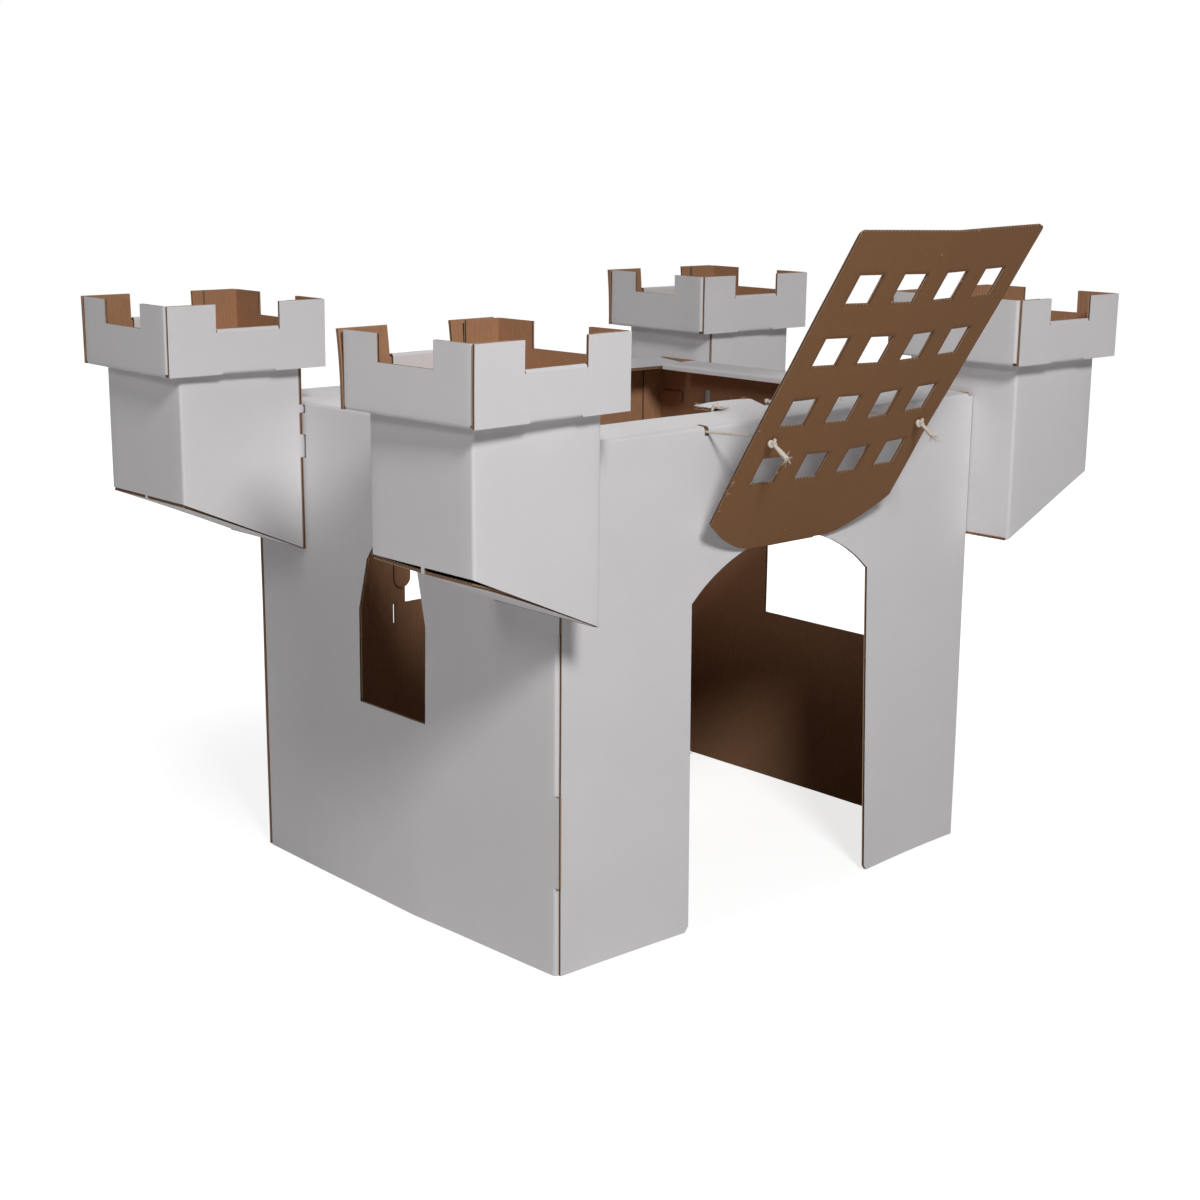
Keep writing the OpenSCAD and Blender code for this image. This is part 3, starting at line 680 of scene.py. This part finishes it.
def tower(name, mirror, seed, open_end):
    """Tower: its plan runs from the raw edge round three folds to the open seam. Under the outer face a gap
    with a bridge in its middle parts it from the sloping bottom; hook and tabs go through the wall."""
    sheet = Sheet(name)
    path = folded([[TOWER_X1 - BOARD - SEAM, TOWER_Y1], [TOWER_X0, TOWER_Y1], [TOWER_X0, TOWER_Y0],
                   [TOWER_X1, TOWER_Y0], [TOWER_X1, TOWER_Y1 - PLAY]])
    line, far = path
    middle = (TOWER_Y0 + TOWER_Y1) / 2
    bridge = far[6] + line[6, 1] - np.array([middle, middle - BRIDGE_W])
    s = spans([*far, *bridge])
    plan = along(path, s)
    low = tower_low(plan[:, 0])[:, None]
    sheet.patch(upright(path, s, low + (TOWER_TOP - low) * np.linspace(0, 1, 13)), (0, 1, 0))
    on = (s >= bridge[0] - WELD) & (s <= bridge[1] + WELD)
    foot = tower_floor(plan[on, 0], plan[on, 1], open_end)
    sheet.patch(upright(path, s[on], np.stack([foot, TOWER_LOW_OUT + 0 * foot], 1)), (-1, 0, 0))

    x = spans([TOWER_X0 + PLAY, TOWER_X1 - PLAY])
    y = spans([TOWER_Y0 + BOARD + PLAY, TOWER_Y1 - BOARD - PLAY])
    underside = tower_floor(x[:, None], y[None], open_end)
    points = np.stack(np.broadcast_arrays(x[:, None], y[None], underside), -1)
    sheet.patch((points, points[..., [1, 0]]), (-1, 0, -2))

    top, end, *hook_y = HOOK
    drop = TOWER_X1 + BOARD + 0.6
    section = folded([[TOWER_X1 - 1, top - BOARD], [drop, top - BOARD], [drop, end]], PLAY)
    points, flat = across_y(section, np.linspace(*hook_y, 4), spans(section[1]))
    sheet.patch((points, flat), (0, 0, -1))
    x = np.array([TOWER_X1 - BOARD - 2, TOWER_X1 + 2 * BOARD])
    for z in TOWER_TABS:
        sheet.patch(facing(x[:, None], TOWER_Y1, np.array([z])), (0, 1, 0))
    return sheet.solid(mirror=mirror, seed=seed, wave=0.35)


CROWN_X = 152.0
CROWN_Y = 147.0
CROWN_H = 116.0
CROWN_AT = (-621.0, 22.0)
CRENEL_HALF = 61.0
CRENEL_Z = 75.0
FLANGE = 70.0
HINGE_HALF = 50.0
OVER_HALF = 59.0
BACK_INSET = (0.0, 3.0)
CROWN_T = BOARD - 0.1


def crown(name, mirror, seed, turn, splay, shift, front_inset):
    """Crown: a tray whose floor turns up into two side panels with flanges at their ends, and by narrow
    strips into two end panels, each folded over at its crenel to a flap on the inside. An end panel leans
    out by its splay times the square of the height, and the whole tray sits turned on its tower."""
    sheet = Sheet(name)
    flange_y = CROWN_Y - BOARD - 0.2
    plan = folded([[-CROWN_X + FLANGE, -flange_y], [-CROWN_X, -flange_y], [-CROWN_X, flange_y],
                   [-CROWN_X + FLANGE, flange_y]])
    line, far = plan
    y = spans([line[6, 1], -CRENEL_HALF, CRENEL_HALF, line[7, 1]], 14)
    s = np.unique(np.round(np.concatenate([spans(far[:7]), far[6] + y - line[6, 1], spans(far[7:])]), 4))
    points, flat = upright(plan, s, spans([FOLD, CRENEL_Z, CROWN_H], 14))
    cut = (np.abs(centre(points[..., 1])) < CRENEL_HALF) & (centre(points[..., 2]) > CRENEL_Z)
    for side in (1, -1):
        sheet.patch((points * [side, 1, 1], flat), (0, -1, 0), ~cut)

    tray = folded([[-CROWN_X, FOLD], [-CROWN_X, 0], [CROWN_X, 0], [CROWN_X, FOLD]])
    insets = (front_inset, BACK_INSET)[::mirror[1]]
    marks = [h * way for h in (CRENEL_HALF, OVER_HALF, HINGE_HALF) for way in (-1, 1)]
    hinge = spans([-HINGE_HALF, HINGE_HALF], 14)
    floor_s = np.concatenate([tray[1][:7], tray[1][6] + hinge - tray[0][6, 0], tray[1][7:]])
    sheet.patch(across_y(tray, y, spans(floor_s)), (-1, 0, 0))

    bend = folded([[-line[7, 1], 0], [-CROWN_Y, 0], [-CROWN_Y, FOLD]])
    over_z = CRENEL_Z - BOARD
    z = spans([PLAY, FOLD, over_z, CROWN_H], 14)
    inner = -CROWN_Y + 2 * BOARD + 0.4
    flap = folded([[-CROWN_Y, over_z - 0.01], [-CROWN_Y, CRENEL_Z], [inner, CRENEL_Z], [inner, BOARD + 1]],
                  BOARD - 0.05)
    flap[0][0, 1] = over_z
    for side, lean, inset in zip((1, -1), splay, insets):
        way = [1, side, 1]
        left, right = inset[::mirror[0]]
        x = np.union1d(spans([left - CROWN_X, CROWN_X - right, *marks], 14), hinge)
        over = x[np.abs(x) <= OVER_HALF]
        points, flat = across_x(bend, hinge, spans(bend[1]))
        sheet.patch((points * way, flat), (0, 0, -1))
        rise = np.maximum(z - FOLD, 0) / (CROWN_H - FOLD)
        points, flat = facing(x[:, None], -CROWN_Y - lean * rise[None] ** 2, z[None])
        xc, zc = np.abs(centre(points[..., 0])), centre(points[..., 2])
        open_part = (xc < CRENEL_HALF) & (zc > over_z) | (xc < HINGE_HALF) & (zc < FOLD)
        sheet.patch((points * way, flat), (0, -side, 0), ~open_part)
        points, flat = across_x(flap, over, spans(flap[1]))
        points = points - [0, lean * np.interp(over_z, z, rise) ** 2, 0]
        sheet.patch((points * way, flat + [0, over_z]), (0, -side, 0))

    def placed(p):
        c, k = math.cos(math.radians(turn)), math.sin(math.radians(turn))
        turned = p @ np.array([[c, k, 0], [-k, c, 0], [0, 0, 1]])
        return turned + [*CROWN_AT, TOWER_TOP] + [0, shift * mirror[1], 0]

    return sheet.solid(bow=placed, mirror=mirror, seed=seed, wave=0.3, thickness=CROWN_T)


# Gate, drawn upright about the fold that it hangs on

GATE_U = GATE_HALF + 3.5
GATE_TIP = -13.0
ARCH_END = 74.0
GATE_END = 624.0
GATE_CORNER = 9.0
LEAN = math.radians(32)
SWING = math.radians(26)
GATE_AT = (0.0, -5.8, GATE_FOLD)
CREASE = math.tan(math.radians(2.5))
CREASE_U = 90.0
CREASE_V = 200.0
ROLL = 0.6
ROLL_V = 5.0
CELL_U = (-150.0, -50.0, 50.0, 150.0)
CELL_V = (149.5, 264.5, 379.5, 494.5)
CELL = (53.5, 53.5)
CELL_PITCH = (100.0, 115.0)
LATTICE_V = (128.0, 570.0)
HOLE_U = 182.0
HOLE_V = 239.0
HOLE_R = 3.5
HOLE_ROOM = 4.5


def make_gate_liner():
    """Gate's brown face: the inner liner darkened all over as painted shade, since the gate's face turns down
    and out;
    sunk in a narrow band round each opening of the lattice, where the cutting die pressed it, and darker in
    patches along that band. The band is the distance from the nearest opening's outline."""
    finish = Finish("gate_liner", 0.8, 0.15)
    colour, bands = kraft_colour(finish)
    off = []
    for axis in (0, 1):
        middle = CELL_U[0] if axis == 0 else CELL_V[0] + CELL[1] / 2
        pitch = CELL_PITCH[axis] * MM
        shifted = finish.math("ADD", finish.layout(axis), (pitch / 2 - middle * MM) + 4 * pitch)
        wrapped = finish.math("SUBTRACT", finish.math("MODULO", shifted, pitch), pitch / 2)
        off.append(finish.math("SUBTRACT", finish.math("ABSOLUTE", wrapped), CELL[axis] / 2 * MM))
    along_gate = finish.layout(1)
    lattice = finish.math("MULTIPLY", finish.math("GREATER_THAN", along_gate, LATTICE_V[0] * MM),
                          finish.math("LESS_THAN", along_gate, LATTICE_V[1] * MM))
    distance = finish.math("MAXIMUM", *off)
    near = finish.node("MapRange", {"Value": distance, "From Min": 0.0065, "From Max": 0.0},
                       interpolation_type="SMOOTHSTEP")
    pressed = finish.math("MULTIPLY", near, lattice)
    # Darker in patches along the band round each opening.
    darker_band = finish.math("MULTIPLY", pressed, finish.math("MULTIPLY_ADD", finish.speckle(60), 0.7, 0.05))
    sunk = finish.bump(finish.math("SUBTRACT", 1.0, pressed), 0.0007)
    # Painted shade: the whole brown face darkened towards dark brown, as the gate's face turns downward.
    shaded_kraft = finish.mix(0.82, colour, (0.22, 0.105, 0.044))
    return finish.done(finish.mix(darker_band, shaded_kraft, (0.16, 0.08, 0.04)), finish.bump(bands, 0.00012, sunk))


def leaning(p):
    """Turns points drawn upright about the fold and puts them against the wall."""
    c, s = math.cos(LEAN), math.sin(LEAN)
    return p @ np.array([[1, 0, 0], [0, c, s], [0, -s, c]]) + GATE_AT


def gate_back(u, v):
    """Back face of the gate: flat at the fold, and further up two planes that meet in a shallow crease."""
    return (np.abs(u) - CREASE_U) * CREASE * np.clip(v / CREASE_V, 0, 1)


def gate_grid(u, v):
    u, v = np.broadcast_arrays(u, v)
    return np.stack([u, gate_back(u, v), v], -1), np.stack([u, v], -1)


def gate():
    """Gate: the fold is an arc about the crease, the arched end is ruled from the circle to a level line, the
    lattice is a grid with its cells left out, each cord hole is a ring between a square of the grid and a
    circle, and the far end is ruled to a line with round corners."""
    sheet = Sheet("gate_sheet")
    quarter = np.linspace(-HOLE_ROOM, HOLE_ROOM, 5)
    u = [c + e * CELL[0] / 2 for c in CELL_U for e in (-1, 1)]
    corner = GATE_U - GATE_CORNER * (1 - np.sin(np.linspace(0, math.pi / 2, 6)))
    u = spans([0, FOLD_HALF, -FOLD_HALF, *corner, *-corner, *u, *(HOLE_U + quarter), *(-HOLE_U + quarter)])
    r = arch_radius(GATE_U, ARCH_END - GATE_TIP)
    low = np.maximum(GATE_TIP + r - np.sqrt(r * r - u * u), ROLL_V)
    low[np.abs(u) <= FOLD_HALF + WELD] = ROLL_V
    share = np.linspace(0, 1, 9)
    sheet.patch(gate_grid(u[:, None], low[:, None] + (LATTICE_V[0] - low)[:, None] * share), (0, 1, 0))
    turn = np.linspace(math.pi, 2 * math.pi - LEAN - SWING, 9)
    arc = np.stack([ROLL + ROLL * np.cos(turn), ROLL_V + ROLL * np.sin(turn)], -1)
    far = np.concatenate([[0], np.cumsum(np.linalg.norm(np.diff(arc, axis=0), axis=1))])
    on = u[np.abs(u) <= FOLD_HALF + WELD]
    points, flat = across_x((arc, far), on, far)
    points[..., 1] += gate_back(on, ROLL_V)[:, None]
    sheet.patch((points, flat), (0, 1, 0))

    v = spans([*LATTICE_V, *CELL_V, *[b + CELL[1] for b in CELL_V], *(HOLE_V + quarter)])
    points, flat = gate_grid(u[:, None], v[None])
    uc, vc = centre(flat[..., 0]), centre(flat[..., 1])
    column = np.min([np.abs(uc - c) for c in CELL_U], 0) < CELL[0] / 2
    row = np.min([np.abs(vc - b - CELL[1] / 2) for b in CELL_V], 0) < CELL[1] / 2
    hole = (np.abs(np.abs(uc) - HOLE_U) < HOLE_ROOM) & (np.abs(vc - HOLE_V) < HOLE_ROOM)
    sheet.patch((points, flat), (0, 1, 0), ~(column & row | hole))
    past = np.maximum(np.abs(u) - GATE_U + GATE_CORNER, 0)
    end = GATE_END - GATE_CORNER + np.sqrt(np.maximum(GATE_CORNER ** 2 - past ** 2, 0))
    share = np.linspace(0, 1, 4)
    sheet.patch(gate_grid(u[:, None], LATTICE_V[1] + (end - LATTICE_V[1])[:, None] * share), (0, 1, 0))

    side = np.concatenate([quarter[:-1], np.full(4, HOLE_ROOM), quarter[:0:-1], np.full(4, -HOLE_ROOM)])
    square = np.stack([side, np.roll(side, 4)], -1)
    square = np.concatenate([square, square[:1]])
    circle = HOLE_R * unit(square)
    for way in (-1, 1):
        ring = square[:, None] + (circle - square)[:, None] * np.linspace(0, 1, 3)[:, None]
        ring = ring + [way * HOLE_U, HOLE_V]
        sheet.patch(gate_grid(ring[..., 0], ring[..., 1]), (0, 1, 0))
    return sheet.solid(bow=leaning, seed=9, wave=0.4, brown=make_gate_liner())


# Cords, knots and torn fibres

CORD_D = 5.0
ROUTE = np.array([
    [-67, 104, 853.6], [-67.3, 103.8, 849.4], [-71, 101.2, 846.2], [-79, 95.5, 845], [-92, 86.5, 844],
    [-108, 75, 843.5], [-124, 64, 843], [-140, 53, 842.5], [-156, 42, 842.2], [-170, 32, 842],
    [-180, 25, 842], [-187, 18.5, 842], [-191, 11, 842], [-192, 2, 842], [-191.5, -8, 842],
    [-190.5, -20, 842.5], [-189.4, -34, 843.1], [-188.3, -48, 843.7], [-187.2, -62, 844.3],
    [-186.1, -76, 844.9], [-185, -90, 845.5], [-183.8, -103, 846], [-182.8, -114, 846.5],
    [-182.2, -119.5, 846.9], [-182, -124, 846.6], [-182, -127.1, 845]])


def smooth(points, bits=6):
    """Curve through the points: each stretch is the cubic whose slope at a point is half the step over it."""
    points = np.asarray(points, float)
    p = np.concatenate([2 * points[:1] - points[1:2], points, 2 * points[-1:] - points[-2:-1]])
    t = np.linspace(0, 1, bits, endpoint=False)[None, :, None]
    a, b, c, d = (p[k:len(p) - 3 + k, None] for k in range(4))
    square = t ** 2 * (a - 2.5 * b + 2 * c - d / 2)
    cube = t ** 3 * (1.5 * (b - c) + (d - a) / 2)
    curve = b + t * (c - a) / 2 + square + cube
    return np.concatenate([curve.reshape(-1, 3), points[-1:]])


def rope(line, radius, pitch=15.0, around=18, hint=(0.6, -0.5, 0.6)):
    """Twisted cord: a three-lobed outline carried along a line and turned once in each pitch. The radius may
    change along the line."""
    way = unit(np.gradient(line, axis=0))
    side = unit(np.cross(way, hint))
    up = np.cross(way, side)
    far = np.concatenate([[0], np.cumsum(np.linalg.norm(np.diff(line, axis=0), axis=1))])
    angle = np.linspace(0, 2 * np.pi, around, endpoint=False)
    radius = np.broadcast_to(radius, far.shape)[:, None]
    out = radius * (0.88 + 0.12 * np.cos(3 * (angle[None] - 2 * np.pi * far[:, None] / pitch)))
    ring = np.cos(angle)[None, :, None] * side[:, None] + np.sin(angle)[None, :, None] * up[:, None]
    points = (line[:, None] + out[..., None] * ring).reshape(-1, 3)
    index = np.arange(len(points)).reshape(len(line), around)
    after = np.roll(index, -1, 1)
    quads = np.stack([index[:-1], after[:-1], after[1:], index[1:]], -1).reshape(-1, 4)
    return points, [*quads.tolist(), index[0][::-1].tolist(), index[-1].tolist()]


def tuft(at, way, count, length, seed, radius=0.55, spread=0.7):
    """Loose fibres from one place: each line goes off in a drawn direction about way and curls aside by the
    square of the distance, thinning to its end."""
    draw = np.random.default_rng(seed)
    t = np.linspace(0, 1, 9)
    shells = []
    for aim, curl, size in zip(draw.normal(size=(count, 3)), draw.normal(size=(count, 3)),
                               draw.uniform(0.6, 1.1, count)):
        first = unit(np.asarray(way, float) + spread * aim)
        line = np.asarray(at) + size * length * (t[:, None] * first + 0.35 * t[:, None] ** 2 * curl)
        shells.append(rope(line, radius * (1 - 0.6 * t), around=6, hint=unit(aim + 0.1)))
    return shells


def ropes(name, parts, finish):
    """One piece of several rope shells."""
    points, faces, count = [], [], 0
    for p, f in parts:
        points.append(p)
        faces += [[i + count for i in face] for face in f]
        count += len(p)
    piece = put(name, np.concatenate(points), faces)
    piece.data.materials.append(finish)
    return piece


def overhand(middle, axis, size):
    """Tight overhand knot: the line of a trefoil, sine and cosine of one turn mixed with two of the other
    way, laid about an axis."""
    t = np.linspace(0, 2 * np.pi, 97)
    flat = np.stack([np.sin(t) + 2 * np.sin(2 * t), np.cos(t) - 2 * np.cos(2 * t), -1.2 * np.sin(3 * t)], -1)
    axis = unit(np.asarray(axis, float))
    a = unit(np.cross(axis, [0.3, 0.8, 0.2]))
    return np.asarray(middle) + size * flat @ np.stack([a, np.cross(axis, a), axis])


def side_of(points, sx):
    return np.asarray(points, float) * [-sx, 1, 1]


TAIL_L = 38.0
KNOT_OUT = 6.2
KNOT_SIZE = 2.2
KNOT_R = 2.7
STRAND_PITCH = 9.0
TIE_AT = {"left": (-60.5, 103.0, 861.5), "right": (-66.0, 101.0, 859.0)}
TIE_SIZE = 1.7
TIE_R = 2.2
TAIL_IN = 2.0
TAIL_DROP = (3, 0, -4)
SHANK = ((-67, 104, 853.8), (-67, 104, 857), (-65.5, 103.6, 860), (-62, 103, 862))
LOOSE_END = {"left": ((-60, 101, 862), (-54, 97, 861), (-47, 95, 859), (-40, 95, 858.4)),
             "right": ((-67, 100, 860), (-73, 98, 859), (-79, 97, 854), (-82, 97, 846))}

white_liner = make_white_liner()
kraft_liner = make_kraft_liner()
raw_edge = make_raw_edge()
cotton = make_cotton()
torn_paper = make_torn_paper()

gate_normal = np.array([0, -math.cos(LEAN), -math.sin(LEAN)])
hole_at = leaning(np.array([HOLE_U, gate_back(HOLE_U, HOLE_V), HOLE_V]))

for word, sx in (("left", -1), ("right", 1)):
    curve = side_of(smooth(ROUTE), sx)
    cord_piece = ropes("cord_" + word + "_twist", [rope(curve, CORD_D / 2)], cotton)
    at = hole_at * [sx, 1, 1]
    knot_at = at + gate_normal * (BOARD + KNOT_OUT)
    t = np.linspace(0, 1, 30)
    out = (BOARD + TAIL_L + TAIL_IN) * t - TAIL_IN
    tail = at + gate_normal * out[:, None] + TAIL_DROP * t[:, None] ** 2
    swell = CORD_D / 2 * (1 + 0.8 * np.clip(2 * t - 0.5, 0, 1))
    gate_knot = ropes("gate_knot_" + word + "_tied", [
        rope(overhand(knot_at, gate_normal, KNOT_SIZE), KNOT_R, STRAND_PITCH), rope(tail, swell),
        *tuft(tail[-2], gate_normal, 26, 13, 40 + sx, 0.75, 0.8)], cotton)
    tie_middle = side_of(TIE_AT[word], sx)
    shank = side_of(smooth(SHANK), sx)
    loose = side_of(smooth(LOOSE_END[word]), sx)
    tie_knot = ropes("tie_knot_" + word + "_tied", [
        rope(overhand(tie_middle, [0.2 * sx, 0.4, 1], TIE_SIZE), TIE_R, STRAND_PITCH),
        rope(shank, CORD_D / 2, hint=(1, 0, 0)), rope(loose, TIE_R, hint=(0.2, 0.9, 0.3)),
        *tuft(loose[-1], loose[-1] - loose[-2], 8, 6, 50 + sx, 0.5, 0.5)], cotton)
    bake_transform(cord_piece)
    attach(gate_knot, "gate")
    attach(tie_knot, "castle")
    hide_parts("cord_" + word)
    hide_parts("gate_knot_" + word)
    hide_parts("tie_knot_" + word)

# Torn fibres: place and direction across and along the gate, count and length
GATE_TEARS = ((-219, 159, -1, 0.6, 9, 5.5), (-220, 139, -1, 0.2, 7, 4.5), (-219, 103, -1, 0.4, 9, 5.5),
              (-178, 154, -0.5, -1, 5, 4), (-21.5, 583, 0.3, 1, 5, 5), (-125, 170, -1, 0.2, 4, 3),
              (-72, 316, 0.4, -1, 6, 6), (-26, 34, 0.2, 1, 3, 3), (124, 168, -1, 0.3, 4, 3),
              (-219, 262, -1, 0.4, 5, 4), (75, 530, -1, 0.1, 4, 3), (41, 623, 0.2, 1, 4, 2.5))
TEAR_OUT = 0.7
fibres = []
for seed, (u, v, du, dv, count, size) in enumerate(GATE_TEARS):
    face = gate_back(u, v) - BOARD
    at, tip = leaning(np.array([[u, face, v], [u + du, face - TEAR_OUT, v + dv]]))
    fibres += tuft(at, tip - at, count, size, 60 + seed)
gate_fibres = ropes("gate_torn_fibres", fibres, torn_paper)
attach(gate_fibres, "gate")

# The same on the gateway's edges: height, side and reach
WALL_TEARS = ((312.0, -1, 4.5), (318.0, -1, 3.0), (205.0, 1, 3.0), (243.0, 1, 3.5), (250.0, 1, 2.5),
              (300.0, 1, 2.0), (402.0, 1, 2.0), (478.0, 1, 2.0))
fibres = []
for seed, (z, sx, size) in enumerate(WALL_TEARS):
    at = legs_bowed(np.array([[sx * GATE_HALF, -0.8 * BOARD, z]]))[0]
    fibres += tuft(at, (-sx, -0.3, 0.2), 5, size, 80 + seed, 0.4)
wall_fibres = ropes("gateway_torn_fibres", fibres, torn_paper)
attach(wall_fibres, "castle")

# Card pieces in their places. For each corner: how it is mirrored, how far the tower's bottom hangs open,
# and the crown's turn in degrees, its end panels' lean, its shift back and the front panel's insets

card = {
    "front_wall": front_wall(),
    "back_wall": back_wall(),
    "left_wall": side_wall("left_wall_sheet", (1, 1), bowed, 5),
    "right_wall": side_wall("right_wall_sheet", (-1, 1), None, 6),
}
CORNERS = (
    ("front_left", (1, 1), 4.5, 2.4, (1, 8), 1.0, (-1.0, 4.0)),
    ("front_right", (-1, 1), 0.0, 0.3, (1, 3), 0.0, (4.0, 1.0)),
    ("back_left", (1, -1), 0.0, 1.6, (2, 1), 2.0, (2.0, 1.0)),
    ("back_right", (-1, -1), 0.0, -2.2, (6, 1), 2.0, (4.0, 1.0)))
for seed, (place, mirror, open_end, turn, splay, shift, inset) in enumerate(CORNERS):
    card["tower_" + place] = tower("tower_" + place + "_sheet", mirror, 20 + seed, open_end)
    card["crown_" + place] = crown("crown_" + place + "_sheet", mirror, 30 + seed, turn, splay, shift, inset)
for node, piece in card.items():
    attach(piece, "castle")
    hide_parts(node)
gate_piece = gate()
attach(gate_piece, "gate")
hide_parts("gate_panel")

# Floor, light and camera

scene = bpy.context.scene
scene.view_settings.view_transform = "Standard"


def path_ray(tree):
    """One where a ray comes from the camera, a mirror-like surface or glass."""
    light = tree.nodes.new("ShaderNodeLightPath")
    total = light.outputs["Is Camera Ray"]
    for kind in ("Is Glossy Ray", "Is Transmission Ray"):
        larger = tree.nodes.new("ShaderNodeMath")
        larger.operation = "MAXIMUM"
        tree.links.new(total, larger.inputs[0])
        tree.links.new(light.outputs[kind], larger.inputs[1])
        total = larger.outputs[0]
    return total


FLOOR_SIZE = 9.0
FLOOR_Z = -0.0005
FLOOR_BOUNCE = 0.7
FLOOR_GREY = (0.5, 0.5, 0.5, 1)
GLOW = {"From Min": 0.9, "From Max": 2.0, "To Min": 0.78, "To Max": 1.05}


def floor():
    """Pale floor: to the camera a glow that grows with the distance from the object, plus the light that
    falls on it, so that it is white where it is lit and keeps the shadow. It bounces light only outside the
    walls, so that the room inside stays dark."""
    corners = [(x * FLOOR_SIZE, y * FLOOR_SIZE, FLOOR_Z) for x, y in ((-1, -1), (1, -1), (1, 1), (-1, 1))]
    mesh = bpy.data.meshes.new("floor")
    mesh.from_pydata(corners, [], [(0, 1, 2, 3)])
    piece = bpy.data.objects.new("floor", mesh)
    scene.collection.objects.link(piece)

    finish = Finish("pale_floor", 1.0, 0.0)
    place = finish.place()
    far = finish.node("VectorMath", {0: place}, "Value", operation="LENGTH")
    reach = finish.node("MapRange", {"Value": far, **GLOW}, interpolation_type="SMOOTHSTEP")
    seen = finish.node("BsdfDiffuse", {"Color": FLOOR_GREY})
    lit = finish.node("AddShader", {0: seen, 1: finish.node("Emission", {"Strength": reach})})
    x, y = (finish.node("SeparateXYZ", {0: place}, axis) for axis in (0, 1))
    off_middle = finish.math("ABSOLUTE", finish.math("SUBTRACT", y, (FRONT + DEPTH / 2) * MM))
    past_x = finish.math("SUBTRACT", finish.math("ABSOLUTE", x), HALF_W * MM)
    past_y = finish.math("SUBTRACT", off_middle, DEPTH / 2 * MM)
    outside = finish.math("GREATER_THAN", finish.math("MAXIMUM", past_x, past_y), 0.0)
    dull = finish.node("BsdfDiffuse", {"Color": finish.math("MULTIPLY", outside, FLOOR_BOUNCE)})
    pick = finish.node("MixShader", {0: path_ray(finish.tree), 1: dull, 2: lit})
    finish.fill(finish.tree.nodes["Material Output"].inputs["Surface"], pick)
    finish.tree.nodes.remove(finish.shader)
    mesh.materials.append(finish.material)


def lamp(name, at, aim, size, watts):
    data = bpy.data.lights.new(name, "AREA")
    data.shape = "DISK"
    data.size = size
    data.energy = watts
    piece = bpy.data.objects.new(name, data)
    piece.location = at
    piece.rotation_euler = (Vector(aim) - Vector(at)).to_track_quat("-Z", "Y").to_euler()
    scene.collection.objects.link(piece)


floor()
lamp("key_light", (-1.85, -3.75, 3.6), (-0.1, 0, 0.4), 1.0, 156)
lamp("left_fill", (-3.9, -0.1, 2.9), (-0.5, 0, 0.5), 1.0, 24)
lamp("back_fill", (3.0, 3.9, 2.8), (0, 0, 0.5), 1.6, 60)

world = bpy.data.worlds.new("studio")
scene.world = world
world.use_nodes = True
tree = world.node_tree
backdrop = tree.nodes["Background"]
backdrop.inputs["Color"].default_value = (1, 1, 1, 1)
strength = tree.nodes.new("ShaderNodeMapRange")
tree.links.new(path_ray(tree), strength.inputs["Value"])
strength.inputs["To Min"].default_value = 0.02
strength.inputs["To Max"].default_value = 1.0
tree.links.new(strength.outputs["Result"], backdrop.inputs["Strength"])

CAMERA_AT = (-2.415, FRONT * MM - 2.1638, 1.2846)
CAMERA_TURN = -42.74
CAMERA_DOWN = 13.08
CAMERA_ROLL = 0.46
view = bpy.data.cameras.new("photo_view")
view.lens = 58.63
view.sensor_width = 36.0
camera = bpy.data.objects.new("photo_view", view)
camera.matrix_world = (Matrix.Translation(CAMERA_AT)
                       @ Matrix.Rotation(math.radians(CAMERA_TURN), 4, "Z")
                       @ Matrix.Rotation(math.radians(90 - CAMERA_DOWN), 4, "X")
                       @ Matrix.Rotation(math.radians(CAMERA_ROLL), 4, "Z"))
scene.collection.objects.link(camera)
scene.camera = camera
